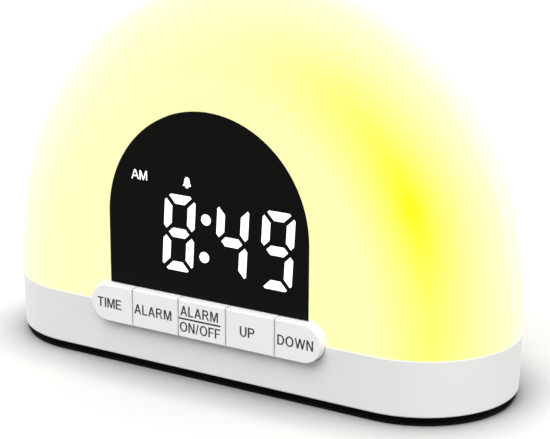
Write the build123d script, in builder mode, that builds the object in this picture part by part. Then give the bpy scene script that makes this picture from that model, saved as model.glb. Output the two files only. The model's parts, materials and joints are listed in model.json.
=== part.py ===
from build123d import *

import math
import os

# Sunrise alarm clock: an arched, glowing shade on a white base band, with a black display panel and a row
# of five keys on the front. Millimetres. X runs along the width, the front faces -Y and Z is up. The origin
# is the middle of the sole's underside.

# ---------------------------------------------------------------------------------------------------------
# Driving dimensions
# ---------------------------------------------------------------------------------------------------------

# Body
body_width = 170.0
body_depth = 60.0
arch_height = 98.0  # shade above the band
side_arc_radius = 150.0  # the long, nearly upright arcs at the sides of the arch
shade_wall = 2.0
band_height = 16.75
band_draft_angle = 1.0
band_wall = 2.0
band_bottom_fillet = 0.5
tongue_wall = 0.9  # the shade's lip, which drops inside the band
tongue_height = 2.0
post_radius = 3.2
post_wall_distance = 5.5
post_beside_guide = 4.0  # from the end of the key guide to the middle of a side post
rib_width = 2.0
rib_clearance = 0.3  # over the bottom cover's rim

# Underside
sole_thickness = 1.2
sole_inset = 1.4
cover_edge_height = 1.55
cover_inset = 0.8
cover_plate = 2.0
cover_rim_height = 2.2
cover_rim_wall = 1.4
sole_margin = 1.5  # round the cap, the screws and the speaker
sound_channel_width = 20.0

# Fits
slip_gap = 0.1  # between fixed pieces that slide into each other
key_gap = 0.25  # round the row of keys
key_split = 0.4  # between two keys
stop_gap = 0.1  # between a key's flange and the wall that stops it
guide_gap = 0.25  # between a key's plunger and its guide
screw_gap = 0.05  # between a screw and its pilot hole
screw_clearance = 0.2  # between a screw and the hole it passes through
head_clearance = 0.4  # round a sunk screw head
tip_gap = 0.4  # from a screw's tip to the bottom of its hole
window_gap = 0.02  # between a segment's front and the panel's
overcut = 1.0  # by which a cut passes the wall it goes through

# Keys
key_names = ["time", "alarm", "alarm_on_off", "up", "down"]  # from the left
key_row_length = 80.6
key_row_height = 11.8
key_row_height_over_band = 0.7  # the row's centre line above the joint of band and shade
key_proud = 2.8
key_edge_fillet = 0.4
key_pitch = 16.65
key_travel = 1.0
key_flange = 1.0  # the flange's reach beyond the keycap
key_flange_thickness = 1.2
plunger_radius = 2.6
dome_radius = 4.2
dome_height = 2.4
dome_wall = 0.5
dome_top_radius = 2.2
pill_radius = 1.4
guide_wall = 1.2
guide_plate = 1.6
guide_side_room = 0.4  # between the keys' flanges and the guide's rim
travel_margin = 0.5  # between a pressed key's flange and the guide's plate
dome_room = 0.8  # between the guide's plate and the tops of the domes
ear_root = 2.8  # how far an ear runs in along the guide's rounded end
ear_reach = 6.8
ear_thickness = 1.2
ear_depth = 5.2
boss_radius = 1.9
boss_sink = 0.3  # of a boss into the guide's rim
key_mat_thickness = 1.0
mat_margin = 0.3  # between a hole in the mat and the inside of its dome

# Display
window_width = 69.5
window_side_height = 22.1  # its straight sides, above the keys
panel_flange = 1.8
panel_flange_thickness = 1.2
digit_pitch = 15.4
colon_half_gap = 9.17  # from the colon to the middle of the digit beside it
digit_half_width = 5.72
digit_half_height = 12.07
digit_height_over_keys = 19.5  # the digits' middle above the top of the keys
digit_slant_angle = 4.0
bar_across = 3.3  # thickness of a level segment
bar_upright = 3.0  # thickness of an upright segment
bar_gap = 1.05
bar_tip_cut = 2.09
middle_bar_half = 3.6
waist_gap = 1.0  # from the middle bar's centre line to the tips of the uprights
colon_radius = 1.9
colon_half_height = 5.8
letter_a_offset = (-24.6, 16.0)  # from the middle of the digits
letter_m_offset = (-21.5, 16.0)
bell_offset = (-6.15, 16.0)
letter_a_corners = [
    (-1.4, -1.6),
    (-0.35, 1.6),
    (0.35, 1.6),
    (1.4, -1.6),
    (0.77, -1.6),
    (0.55, -0.8),
    (-0.55, -0.8),
    (-0.77, -1.6),
]
letter_a_counter = [(-0.4, -0.15), (0.4, -0.15), (0, 1.0)]
letter_m_corners = [
    (-1.4, -1.6),
    (-1.4, 1.6),
    (-0.7, 1.6),
    (0, -0.4),
    (0.7, 1.6),
    (1.4, 1.6),
    (1.4, -1.6),
    (0.85, -1.6),
    (0.85, 0.7),
    (0.2, -1.6),
    (-0.2, -1.6),
    (-0.85, 0.7),
    (-0.85, -1.6),
]
bell_corners = [(-1.0, 0.4), (1.0, 0.4), (1.1, -0.5), (1.5, -1.1), (-1.5, -1.1), (-1.1, -0.5)]
bell_circles = [(0.4, 1.0), (1.5, 0.3), (-1.35, 0.45)]  # crown, knob and clapper: height and radius
bridge_width = 0.4  # of the web that holds the middle of the A
module_depth = 6.0
module_inset = 2.5
module_room = 0.4  # over the shroud's sill
module_head_height = 20.5  # its flat head, above the middle of the digits
led_size = (1.6, 0.8, 0.7)
led_gap = 0.2
board_thickness = 1.6
hole_to_edge = 4.0  # from a board's screw holes to its edges
shroud_wall = 1.5
shroud_depth = 13.8
pillar_radius = 2.4
pillar_offset = (14.0, 26.0)  # from the middle of the digits
pillar_grip = 3.0  # of the screws in the panel's pillars

# Lamp
deck_thickness = 2.0
deck_height_over_cover = 12.2
deck_inset = 2.3
pocket_room = 0.8  # in the deck, beside the key guide
lamp_board_size = (120.0, 20.0)
lamp_board_corner = 2.0
lamp_led_size = (3.5, 2.8, 0.8)
lamp_led_columns = 12
lamp_led_margin = 10.5  # from the lamp board's end to the middle of its first LED
lamp_led_row_gap = 9.0
lamp_lead_x = 20.0
lamp_lead_distance = 3.5  # behind the lamp board
lamp_lead_hole_radius = 2.5

# Electronics bay
main_board_width = 62.0
main_board_standoff = 3.0
main_board_front_gap = 0.5  # from the deck's pocket back to its front edge
main_board_back_gap = 2.0  # from its rear edge to the inside of the band
standoff_radius = 2.6
chip_size = (10.0, 10.0, 1.4)
chip_chamfer = 0.2
chip_offset = (-9.0, -1.0)  # from the middle of the main board
can_radius = 3.15
can_height = 6.4
can_edge_fillet = 0.5
can_places = [(9.0, 8.0), (16.5, 10.0)]  # from the board's left end, and behind its middle
connector_height = 3.0
connector_inset = 0.5  # from a connector to the board's edge
ribbon_socket_size = (12.0, 4.0)
lamp_socket_size = (6.0, 5.0)
speaker_socket_size = (5.0, 6.0)
display_ribbon_x = 0.0
key_ribbon_x = -17.0

# Speaker
speaker_x = 50.0
speaker_radius = 16.0
speaker_surround = 4.5  # from its rim to the grille's slots
speaker_ring_wall = 1.5
speaker_ring_height = 2.8
slot_pitch = 4.2
slot_width = 2.0
slot_pairs = 2  # of slots beside the middle one
magnet_radius = 9.0
magnet_height = 3.4
basket_lip = 2.6
basket_rim = 1.2
basket_wall = 0.8
basket_depth = 5.4
basket_bore_wall = 3.0  # from the magnet's rim to the hole for the coil
coil_radius = 3.2
coil_gap = 0.1  # from the coil to the magnet
cone_wall = 0.4
cone_edge_height = 0.3
cone_depth = 2.7
cone_dome_depth = 0.8

# Power inlet
inlet_width = 8.94
inlet_height = 3.2
inlet_depth = 7.3
inlet_recess = 1.0  # sunk into the band, so that a plug's body clears the wall
inlet_recess_margin = 1.8
inlet_gap = 0.3  # round the inlet's shell, in the band
inlet_shell_wall = 0.3
inlet_block_depth = 2.5
tongue_size = (6.7, 0.7, 4.4)

# Backup battery
battery_x = -52.0
cell_radius = 10.0
cell_height = 3.2
cap_radius = 13.5
cap_disc = 1.3
cap_gap = 0.2
cap_lip = 1.4
cap_neck_radius = 12.0
cap_neck_wall = 1.0
cap_lug_reach = 1.3
cap_lug_width = 4.4
cap_lug_thickness = 1.0
cap_turn_angle = 60.0
cap_slot_size = (15.0, 1.8, 0.7)  # for a coin
notch_room = 0.4  # round a lug in its notch
bay_wall = 1.2
bay_room = 0.7  # round the lugs
bay_headroom = 2.0  # above the cell, for its contacts
cell_edge_fillet = 0.6
contact_thickness = 0.3
contact_width = 5.0
contact_overlap = 1.2  # down the side of the cell

# Screws
screw_radius = 1.3
screw_head_radius = 2.6
screw_head_height = 1.1
small_screw_radius = 0.8
small_head_radius = 1.6
small_head_height = 0.8
pilot_depth = 8.0
small_pilot_depth = 3.0

# Leads
lead_radius = 0.6
lead_pitch = 2.2
lead_bend_radius = 1.0
ribbon_width = 10.0
ribbon_thickness = 0.3
ribbon_room = 1.5  # in front of and behind the display's ribbon
ribbon_bend_radius = 1.2
ribbon_tail = 3.0  # of a ribbon, flat on its board

# ---------------------------------------------------------------------------------------------------------
# Places worked out from them
# ---------------------------------------------------------------------------------------------------------

half_width = body_width / 2
end_radius = body_depth / 2
front_y = -end_radius
back_y = end_radius

cover_bottom_z = sole_thickness
band_bottom_z = cover_bottom_z + cover_edge_height
band_top_z = band_bottom_z + band_height
arch_top_z = band_top_z + arch_height
cover_floor_z = cover_bottom_z + cover_plate
deck_z = cover_floor_z + deck_height_over_cover
deck_top_z = deck_z + deck_thickness

# The arch's outline is one top arc between two side arcs, tangent where they meet.
top_arc_radius = (half_width**2 - 2 * half_width * side_arc_radius + arch_height**2) / (
    2 * (arch_height - side_arc_radius)
)
top_arc_z = arch_top_z - top_arc_radius
side_arc_x = half_width - side_arc_radius
shoulder_angle = math.degrees(math.atan2(top_arc_z - band_top_z, -side_arc_x))

# Keys
key_row_z = band_top_z + key_row_height_over_band
key_top_z = key_row_z + key_row_height / 2
key_front_y = front_y - key_proud
wall_inner_y = front_y + shade_wall
flange_front_y = wall_inner_y + stop_gap
flange_back_y = flange_front_y + key_flange_thickness
guide_front_y = flange_back_y + key_travel + travel_margin
guide_back_y = guide_front_y + guide_plate
dome_top_y = guide_back_y + dome_room
dome_base_y = dome_top_y + dome_height
key_board_y = dome_base_y + key_mat_thickness
key_board_back_y = key_board_y + board_thickness
guide_length = key_row_length + 2 * (key_flange + guide_side_room + guide_wall)
guide_height = key_row_height + 2 * (key_flange + guide_side_room + guide_wall)
last_key = len(key_names) - 1
key_centres = [(n - last_key / 2) * key_pitch for n in range(len(key_names))]
boss_rise = key_row_height / 2 + key_flange + guide_side_room - boss_radius + boss_sink

# Display
window_half = window_width / 2
sill_z = key_top_z + key_gap
spring_z = key_top_z + window_side_height
digit_z = key_top_z + digit_height_over_keys
panel_back_y = wall_inner_y + panel_flange_thickness
module_back_y = panel_back_y + module_depth
display_board_back_y = module_back_y + board_thickness
shroud_back_y = panel_back_y + shroud_depth
shroud_sill_z = key_row_z + guide_height / 2
board_sill_z = shroud_sill_z + shroud_wall + slip_gap
module_sill_z = shroud_sill_z + shroud_wall + module_room
digit_centres = [
    -colon_half_gap - digit_pitch,
    -colon_half_gap,
    colon_half_gap,
    colon_half_gap + digit_pitch,
]

# Electronics bay
ribbon_y = key_board_back_y + ribbon_room + ribbon_thickness / 2
pocket_back_y = ribbon_y + ribbon_thickness / 2 + ribbon_room
main_board_z = cover_floor_z + main_board_standoff
main_board_top_z = main_board_z + board_thickness
main_board_front_y = pocket_back_y + main_board_front_gap
main_board_back_y = back_y - band_wall - main_board_back_gap
main_board_depth = main_board_back_y - main_board_front_y
main_board_y = (main_board_front_y + main_board_back_y) / 2
inlet_z = main_board_top_z + inlet_height / 2
side_post_x = guide_length / 2 + post_beside_guide
side_post_y = back_y - band_wall - post_wall_distance
end_post_x = half_width - band_wall - post_wall_distance
side_posts = [
    (-side_post_x, side_post_y),
    (side_post_x, side_post_y),
    (-side_post_x, -side_post_y),
    (side_post_x, -side_post_y),
]
end_posts = [(-end_post_x, 0), (end_post_x, 0)]
ear_z = deck_z - ear_thickness
board_hole_x = main_board_width / 2 - hole_to_edge
board_hole_y = main_board_depth / 2 - hole_to_edge
board_holes = [
    (x, main_board_y + y)
    for x in (-board_hole_x, board_hole_x)
    for y in (-board_hole_y, board_hole_y)
]

os.makedirs("parts", exist_ok=True)


# ---------------------------------------------------------------------------------------------------------
# Shared outlines and helpers
# ---------------------------------------------------------------------------------------------------------


def finish(part, label):
    """Names a finished piece and writes it to its own file."""
    part.label = label
    export_step(part, f"parts/{label}.step")


def level(z):
    """A level plane at height z."""
    return Plane.XY.offset(z)


def facing_front(y):
    """An upright plane at depth y that faces the front: its own axes are X and Z."""
    return Plane.XZ.offset(-y)


def stadium(inset, mode=Mode.ADD):
    """The body's plan drawn in by inset."""
    SlotOverall(body_width - 2 * inset, body_depth - 2 * inset, mode=mode)


def key_row_outline(grow, mode=Mode.ADD):
    """The capsule of the five keys, grown all round, on a plane that faces the front."""
    with Locations((0, key_row_z)):
        SlotOverall(key_row_length + 2 * grow, key_row_height + 2 * grow, mode=mode)


def round_headed(half, sill):
    """A round-headed window, for a plane that faces the front."""
    with BuildSketch() as window:
        with BuildLine():
            Polyline((-half, spring_z), (-half, sill), (half, sill), (half, spring_z))
            CenterArc((0, spring_z), half, 0, 180)
        make_face()
    return window.sketch


def rounded_arch(inset):
    """The arch drawn in by inset: a flat slab with a rim that is fully round across its depth."""
    rim_radius = end_radius - inset
    spine_x = half_width - end_radius
    with BuildPart() as arch:
        with BuildSketch(Plane.XZ):
            with BuildLine():
                side = CenterArc(
                    (side_arc_x, band_top_z), side_arc_radius - end_radius, 0, shoulder_angle
                )
                top = CenterArc(
                    (0, top_arc_z),
                    top_arc_radius - end_radius,
                    shoulder_angle,
                    90 - shoulder_angle,
                )
                Polyline(top @ 1, (0, band_top_z), side @ 0)
            make_face()
        extrude(amount=rim_radius, both=True)
        with BuildSketch(level(band_top_z)):
            with Locations((spine_x, 0)):
                Circle(rim_radius)
                Rectangle(
                    rim_radius,
                    2 * rim_radius,
                    align=(Align.MAX, Align.CENTER),
                    mode=Mode.SUBTRACT,
                )
        revolve(
            axis=Axis((side_arc_x, 0, band_top_z), (0, -1, 0)),
            revolution_arc=shoulder_angle,
        )
        with BuildSketch(Plane.YZ):
            with Locations((0, arch_top_z - end_radius)):
                Circle(rim_radius)
                Rectangle(
                    2 * rim_radius,
                    rim_radius,
                    align=(Align.CENTER, Align.MAX),
                    mode=Mode.SUBTRACT,
                )
        revolve(
            axis=Axis((0, 0, top_arc_z), (0, 1, 0)),
            revolution_arc=90 - shoulder_angle,
        )
        mirror(about=Plane.YZ)
    return arch.part


def screws(points, seat, way, length, shaft_radius, head_radius, head_height):
    """Screws, one solid each: seat is the plane under the heads, and way is 1 or -1 along its normal."""
    with BuildPart() as group:
        with BuildSketch(seat):
            with Locations(*points):
                Circle(shaft_radius)
        extrude(amount=way * length)
        with BuildSketch(seat):
            with Locations(*points):
                Circle(head_radius)
        extrude(amount=-way * head_height)
    return group.part


def small_screws(points, seat, way, length):
    """The little screws that hold the boards and the deck."""
    return screws(points, seat, way, length, small_screw_radius, small_head_radius, small_head_height)


# ---------------------------------------------------------------------------------------------------------
# Shade: the frosted arch
# ---------------------------------------------------------------------------------------------------------

outer_arch = rounded_arch(0)
arch_cavity = rounded_arch(shade_wall)
tongue_inset = shade_wall - tongue_wall

with BuildPart() as shade:
    add(outer_arch)
    add(arch_cavity, mode=Mode.SUBTRACT)
    with BuildSketch(level(band_top_z - tongue_height)):
        stadium(tongue_inset)
        stadium(shade_wall, Mode.SUBTRACT)
    extrude(amount=tongue_height)
    with BuildSketch(facing_front(front_y + end_radius / 2)):
        add(round_headed(window_half, key_row_z))
        key_row_outline(key_gap)
    extrude(amount=end_radius, mode=Mode.SUBTRACT)
finish(shade.part, "shade")

# ---------------------------------------------------------------------------------------------------------
# Base housing: the white band and its screw posts
# ---------------------------------------------------------------------------------------------------------

band_foot_inset = band_height * math.tan(math.radians(band_draft_angle))
rib_z = cover_floor_z + cover_rim_height + rib_clearance
rib_reach = post_wall_distance + band_wall / 2

with BuildPart() as base_housing:
    with BuildSketch(level(band_bottom_z)):
        stadium(band_foot_inset)
    extrude(amount=band_height, taper=-band_draft_angle)
    fillet(base_housing.faces().sort_by(Axis.Z)[0].edges(), band_bottom_fillet)
    with BuildSketch(level(band_bottom_z)):
        stadium(band_wall)
    extrude(amount=band_height, mode=Mode.SUBTRACT)
    with BuildSketch(level(band_top_z)):
        stadium(tongue_inset - slip_gap)
    extrude(amount=-tongue_height - slip_gap, mode=Mode.SUBTRACT)

    # Posts, each tied to the wall by a rib that starts above the cover's rim
    with BuildSketch(level(rib_z)):
        for x, y in side_posts:
            with Locations((x, y + math.copysign(rib_reach / 2, y))):
                Rectangle(rib_width, rib_reach)
        for x, y in end_posts:
            with Locations((x + math.copysign(rib_reach / 2, x), y)):
                Rectangle(rib_reach, rib_width)
    extrude(amount=ear_z - rib_z)
    with BuildSketch(level(cover_floor_z)):
        with Locations(*side_posts, *end_posts):
            Circle(post_radius)
    extrude(amount=ear_z - cover_floor_z)
    with BuildSketch(level(ear_z)):
        with Locations(*side_posts[:2], *end_posts):
            Circle(post_radius)
    extrude(amount=deck_z - ear_z)
    with BuildSketch(level(cover_floor_z)):
        with Locations(*side_posts, *end_posts):
            Circle(screw_radius + screw_gap)
    extrude(amount=pilot_depth, mode=Mode.SUBTRACT)
    with BuildSketch(level(deck_z)):
        with Locations(*side_posts, *end_posts):
            Circle(small_screw_radius + screw_gap)
    extrude(amount=-small_pilot_depth, mode=Mode.SUBTRACT)

    # The lower half of the keys' opening, and the inlet's opening in a sunk oval
    with BuildSketch(facing_front(wall_inner_y + overcut)):
        key_row_outline(key_gap)
    extrude(amount=band_wall + 2 * overcut, mode=Mode.SUBTRACT)
    with BuildSketch(facing_front(back_y)):
        with Locations((0, inlet_z)):
            SlotOverall(inlet_width + 2 * inlet_recess_margin, inlet_height + 2 * inlet_recess_margin)
    extrude(amount=inlet_recess, mode=Mode.SUBTRACT)
    with BuildSketch(facing_front(back_y)):
        with Locations((0, inlet_z)):
            SlotOverall(inlet_width + 2 * inlet_gap, inlet_height + 2 * inlet_gap)
    extrude(amount=band_wall + overcut, mode=Mode.SUBTRACT)
finish(base_housing.part, "base_housing")

# ---------------------------------------------------------------------------------------------------------
# Underside: bottom cover and sole
# ---------------------------------------------------------------------------------------------------------

cap_recess_top_z = cover_bottom_z + slip_gap + cap_disc + cap_gap
cap_lip_top_z = cap_recess_top_z + cap_lip
cap_hole_radius = cap_neck_radius + cap_gap
lug_radius = cap_neck_radius + cap_lug_reach
bay_radius = lug_radius + bay_room
cell_z = cap_recess_top_z
cell_top_z = cell_z + cell_height
bay_roof_z = cell_top_z + bay_headroom
bay_top_z = bay_roof_z + bay_wall
notch_angle = 90 - cap_turn_angle
rim_inset = band_wall + slip_gap
screw_seat_z = cover_bottom_z + screw_head_height + slip_gap
grille_radius = speaker_radius - speaker_surround
slot_places = [n * slot_pitch for n in range(-slot_pairs, slot_pairs + 1)]

with BuildPart() as bottom_cover:
    with BuildSketch(level(cover_bottom_z)):
        stadium(cover_inset)
    extrude(amount=cover_edge_height)
    with BuildSketch(level(cover_bottom_z)):
        stadium(rim_inset)
    extrude(amount=cover_plate)
    with BuildSketch(level(cover_floor_z)):
        stadium(rim_inset)
        stadium(rim_inset + cover_rim_wall, Mode.SUBTRACT)
    extrude(amount=cover_rim_height)

    # Standoffs for the main board
    with BuildSketch(level(cover_floor_z)):
        with Locations(*board_holes):
            Circle(standoff_radius)
    extrude(amount=main_board_standoff)
    with BuildSketch(level(main_board_z)):
        with Locations(*board_holes):
            Circle(small_screw_radius + screw_gap)
    extrude(amount=-main_board_standoff, mode=Mode.SUBTRACT)

    # Ring that holds the speaker, over its slots
    with BuildSketch(level(cover_floor_z)):
        with Locations((speaker_x, 0)):
            Circle(speaker_radius + slip_gap + speaker_ring_wall)
            Circle(speaker_radius + slip_gap, mode=Mode.SUBTRACT)
    extrude(amount=speaker_ring_height)
    with BuildSketch(level(cover_bottom_z)):
        for x in slot_places:
            with Locations((speaker_x + x, 0)):
                SlotOverall(2 * math.sqrt(grille_radius**2 - x**2), slot_width, rotation=90)
    extrude(amount=cover_plate, mode=Mode.SUBTRACT)

    # Bay for the backup cell, with a stepped hole for its cap
    with BuildSketch(level(cover_floor_z)):
        with Locations((battery_x, 0)):
            Circle(bay_radius + bay_wall)
    extrude(amount=bay_top_z - cover_floor_z)
    with BuildSketch(level(cap_lip_top_z)):
        with Locations((battery_x, 0)):
            Circle(bay_radius)
    extrude(amount=bay_roof_z - cap_lip_top_z, mode=Mode.SUBTRACT)
    with BuildSketch(level(cover_bottom_z)):
        with Locations((battery_x, 0)):
            Circle(cap_radius + cap_gap)
    extrude(amount=cap_recess_top_z - cover_bottom_z, mode=Mode.SUBTRACT)
    with BuildSketch(level(cap_recess_top_z)):
        with Locations((battery_x, 0)):
            Circle(cap_hole_radius)
            Rectangle(
                2 * (lug_radius + notch_room),
                cap_lug_width + 2 * notch_room,
                rotation=notch_angle,
            )
    extrude(amount=cap_lip, mode=Mode.SUBTRACT)

    # Counterbored screw holes
    with BuildSketch(level(cover_bottom_z)):
        with Locations(*side_posts, *end_posts):
            Circle(screw_radius + screw_clearance)
    extrude(amount=cover_plate, mode=Mode.SUBTRACT)
    with BuildSketch(level(cover_bottom_z)):
        with Locations(*side_posts, *end_posts):
            Circle(screw_head_radius + head_clearance)
    extrude(amount=screw_seat_z - cover_bottom_z, mode=Mode.SUBTRACT)
finish(bottom_cover.part, "bottom_cover")

case_screws = screws(
    side_posts + end_posts,
    level(screw_seat_z),
    1,
    pilot_depth + cover_floor_z - screw_seat_z - tip_gap,
    screw_radius,
    screw_head_radius,
    screw_head_height,
)
finish(case_screws, "case_screws")

# The sole leaves the cap, the screws and the speaker free, with a channel for sound out to the back.
with BuildPart() as sole:
    with BuildSketch():
        stadium(sole_inset)
        with Locations((battery_x, 0)):
            Circle(cap_radius + sole_margin, mode=Mode.SUBTRACT)
        with Locations((speaker_x, 0)):
            Circle(grille_radius + sole_margin, mode=Mode.SUBTRACT)
            Rectangle(
                sound_channel_width,
                body_depth,
                align=(Align.CENTER, Align.MIN),
                mode=Mode.SUBTRACT,
            )
        with Locations(*side_posts, *end_posts):
            Circle(screw_head_radius + sole_margin, mode=Mode.SUBTRACT)
    extrude(amount=sole_thickness)
finish(sole.part, "sole")

# ---------------------------------------------------------------------------------------------------------
# Backup battery: coin-turn cap, cell and contacts
# ---------------------------------------------------------------------------------------------------------

cap_z = cover_bottom_z + slip_gap
neck_z = cap_z + cap_disc
lug_z = cap_lip_top_z + cap_gap
neck_height = lug_z + cap_lug_thickness - neck_z

with BuildPart() as battery_cap:
    with BuildSketch(level(cap_z)):
        with Locations((battery_x, 0)):
            Circle(cap_radius)
    extrude(amount=cap_disc)
    with BuildSketch(level(neck_z)):
        with Locations((battery_x, 0)):
            Circle(cap_neck_radius)
    extrude(amount=neck_height)
    with BuildSketch(level(lug_z)):
        with Locations((battery_x, 0)):
            Rectangle(cap_lug_width, 2 * lug_radius)
    extrude(amount=cap_lug_thickness)
    with BuildSketch(level(neck_z)):
        with Locations((battery_x, 0)):
            Circle(cap_neck_radius - cap_neck_wall)
    extrude(amount=neck_height, mode=Mode.SUBTRACT)
    with BuildSketch(level(cap_z)):
        with Locations((battery_x, 0)):
            SlotOverall(cap_slot_size[0], cap_slot_size[1])
    extrude(amount=cap_slot_size[2], mode=Mode.SUBTRACT)
finish(battery_cap.part, "battery_cap")

with BuildPart() as backup_cell:
    with BuildSketch(level(cell_z)):
        with Locations((battery_x, 0)):
            Circle(cell_radius)
    extrude(amount=cell_height)
    fillet(backup_cell.faces().sort_by(Axis.Z)[-1].edges(), cell_edge_fillet)
finish(backup_cell.part, "backup_cell")

leaf_z = bay_roof_z - contact_thickness / 2

with BuildPart() as cell_contacts:
    with BuildSketch(Plane.XZ.offset(-contact_width / 2)):
        with BuildLine():
            Polyline(
                (battery_x - cell_radius, leaf_z),
                (battery_x - cell_radius / 2, leaf_z),
                (battery_x, cell_top_z + contact_thickness),
                (battery_x + cell_radius / 5, cell_top_z + 2 * contact_thickness),
            )
        trace(line_width=contact_thickness)
    extrude(amount=contact_width)
    with BuildSketch(level(cell_top_z - contact_overlap)):
        with Locations((battery_x + cell_radius, 0)):
            Rectangle(contact_thickness, contact_width, align=(Align.MIN, Align.CENTER))
    extrude(amount=bay_headroom + contact_overlap)
finish(cell_contacts.part, "cell_contacts")

# ---------------------------------------------------------------------------------------------------------
# Keys: five keycaps, their guide, domes, mat and board
# ---------------------------------------------------------------------------------------------------------


def keycap(n):
    """The nth keycap from the left, cut from the capsule of the whole row."""
    left = -key_row_length if n == 0 else key_centres[n] - (key_pitch - key_split) / 2
    right = key_row_length if n == last_key else key_centres[n] + (key_pitch - key_split) / 2
    with BuildPart() as cap:
        with BuildSketch(facing_front(flange_front_y)):
            key_row_outline(0)
            with Locations(((left + right) / 2, key_row_z)):
                Rectangle(right - left, 2 * key_row_height, mode=Mode.INTERSECT)
        extrude(amount=flange_front_y - key_front_y)
        fillet(cap.faces().sort_by(Axis.Y)[0].edges(), key_edge_fillet)
        with BuildSketch(facing_front(flange_back_y)):
            key_row_outline(key_flange)
            with Locations(((left + right) / 2, key_row_z)):
                Rectangle(right - left, 2 * key_row_height, mode=Mode.INTERSECT)
        extrude(amount=key_flange_thickness)
        with BuildSketch(facing_front(dome_top_y - stop_gap)):
            with Locations((key_centres[n], key_row_z)):
                Circle(plunger_radius)
        extrude(amount=dome_top_y - stop_gap - flange_back_y)
    return cap.part


for n, name in enumerate(key_names):
    finish(keycap(n), f"keycap_{name}")


def key_dome(n):
    """The silicone dome under the nth key, with the contact pill at its middle."""
    with BuildPart() as dome:
        with BuildSketch(Plane.XY):
            with BuildLine():
                Polyline(
                    (0, dome_top_y),
                    (dome_top_radius, dome_top_y),
                    (dome_radius, dome_base_y),
                    (dome_radius - dome_wall, dome_base_y),
                    (dome_top_radius - dome_wall, dome_top_y + dome_wall),
                    (pill_radius, dome_top_y + dome_wall),
                    (pill_radius, key_board_y - key_travel),
                    (0, key_board_y - key_travel),
                    close=True,
                )
            make_face()
        revolve(axis=Axis.Y)
    return Location((key_centres[n], 0, key_row_z)) * dome.part


for n, name in enumerate(key_names):
    finish(key_dome(n), f"key_dome_{name}")

key_board_holes = [
    (x, key_row_z + z)
    for x in (-1.5 * key_pitch, 1.5 * key_pitch)
    for z in (-boss_rise, boss_rise)
]
dome_seats = [(x, key_row_z) for x in key_centres]

with BuildPart() as key_guide:
    with BuildSketch(facing_front(dome_base_y)):
        key_row_outline(key_flange + guide_side_room + guide_wall)
        key_row_outline(key_flange + guide_side_room, Mode.SUBTRACT)
    extrude(amount=dome_base_y - wall_inner_y)
    with BuildSketch(facing_front(guide_back_y)):
        key_row_outline(key_flange + guide_side_room + guide_wall / 2)
        with Locations(*dome_seats):
            Circle(plunger_radius + guide_gap, mode=Mode.SUBTRACT)
    extrude(amount=guide_plate)
    with BuildSketch(facing_front(dome_base_y)):
        with Locations(*key_board_holes):
            Circle(boss_radius)
    extrude(amount=dome_base_y - guide_back_y)
    with BuildSketch(facing_front(dome_base_y)):
        with Locations(*key_board_holes):
            Circle(small_screw_radius + screw_gap)
    extrude(amount=dome_base_y - guide_back_y, mode=Mode.SUBTRACT)

    # An ear at each end, clamped between the deck and a post
    with BuildSketch(level(ear_z)):
        for side in (-1, 1):
            with Locations((side * (guide_length + ear_reach - ear_root) / 2, dome_base_y)):
                Rectangle(ear_root + ear_reach, ear_depth, align=(Align.CENTER, Align.MAX))
        with Locations(*side_posts[2:]):
            Circle(small_screw_radius + screw_gap, mode=Mode.SUBTRACT)
    extrude(amount=ear_thickness)
finish(key_guide.part, "key_guide")

with BuildPart() as key_mat:
    with BuildSketch(facing_front(key_board_y)):
        key_row_outline(key_flange + guide_side_room + guide_wall)
        with Locations(*dome_seats):
            Circle(dome_radius - dome_wall - mat_margin, mode=Mode.SUBTRACT)
        with Locations(*key_board_holes):
            Circle(small_screw_radius + screw_clearance, mode=Mode.SUBTRACT)
    extrude(amount=key_mat_thickness)
finish(key_mat.part, "key_mat")

with BuildPart() as key_board:
    with BuildSketch(facing_front(key_board_back_y)):
        key_row_outline(key_flange + guide_side_room + guide_wall)
        with Locations(*key_board_holes):
            Circle(small_screw_radius + screw_clearance, mode=Mode.SUBTRACT)
    extrude(amount=board_thickness)
finish(key_board.part, "key_board")

key_board_screws = small_screws(
    key_board_holes,
    facing_front(key_board_back_y),
    1,
    board_thickness + key_mat_thickness + dome_base_y - guide_back_y - tip_gap,
)
finish(key_board_screws, "key_board_screws")

# ---------------------------------------------------------------------------------------------------------
# Display: panel, segments, module, boards and shroud
# ---------------------------------------------------------------------------------------------------------

mitre = bar_gap / math.sqrt(2)
slant = math.tan(math.radians(digit_slant_angle))


def bar_points(letter):
    """Corners of one bar of a seven-segment digit, a to g as usual, about the digit's middle."""
    tip = (bar_tip_cut - mitre) / 2
    if letter in "ad":
        right = [
            (digit_half_width - bar_tip_cut, digit_half_height),
            (digit_half_width - bar_tip_cut + tip, digit_half_height - tip),
            (digit_half_width - bar_across - mitre, digit_half_height - bar_across),
        ]
        points = right + [(-x, z) for x, z in reversed(right)]
    elif letter == "g":
        right = [
            (middle_bar_half - bar_across / 2, bar_across / 2),
            (middle_bar_half, 0),
            (middle_bar_half - bar_across / 2, -bar_across / 2),
        ]
        points = right + [(-x, z) for x, z in reversed(right)]
    else:
        inner_x = digit_half_width - bar_upright
        waist_x = middle_bar_half + 2 * mitre
        points = [
            (inner_x, digit_half_height - bar_upright - mitre),
            (digit_half_width - tip, digit_half_height - bar_tip_cut + tip),
            (digit_half_width, digit_half_height - bar_tip_cut),
            (digit_half_width, 2 * waist_gap),
            (waist_x - waist_gap, waist_gap),
            (inner_x, waist_x - inner_x),
        ]
    mirror_x = -1 if letter in "ef" else 1
    mirror_z = -1 if letter in "cde" else 1
    return [(mirror_x * x, mirror_z * z) for x, z in points]


def bars(centre_x, letters):
    """Some bars of the digit whose middle is at centre_x, leaning as the whole display does."""
    with BuildSketch() as digit:
        for letter in letters:
            with BuildLine():
                Polyline(
                    [
                        (centre_x + x + z * slant, digit_z + z)
                        for x, z in bar_points(letter)
                    ],
                    close=True,
                )
            make_face()
    return digit.sketch


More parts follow.
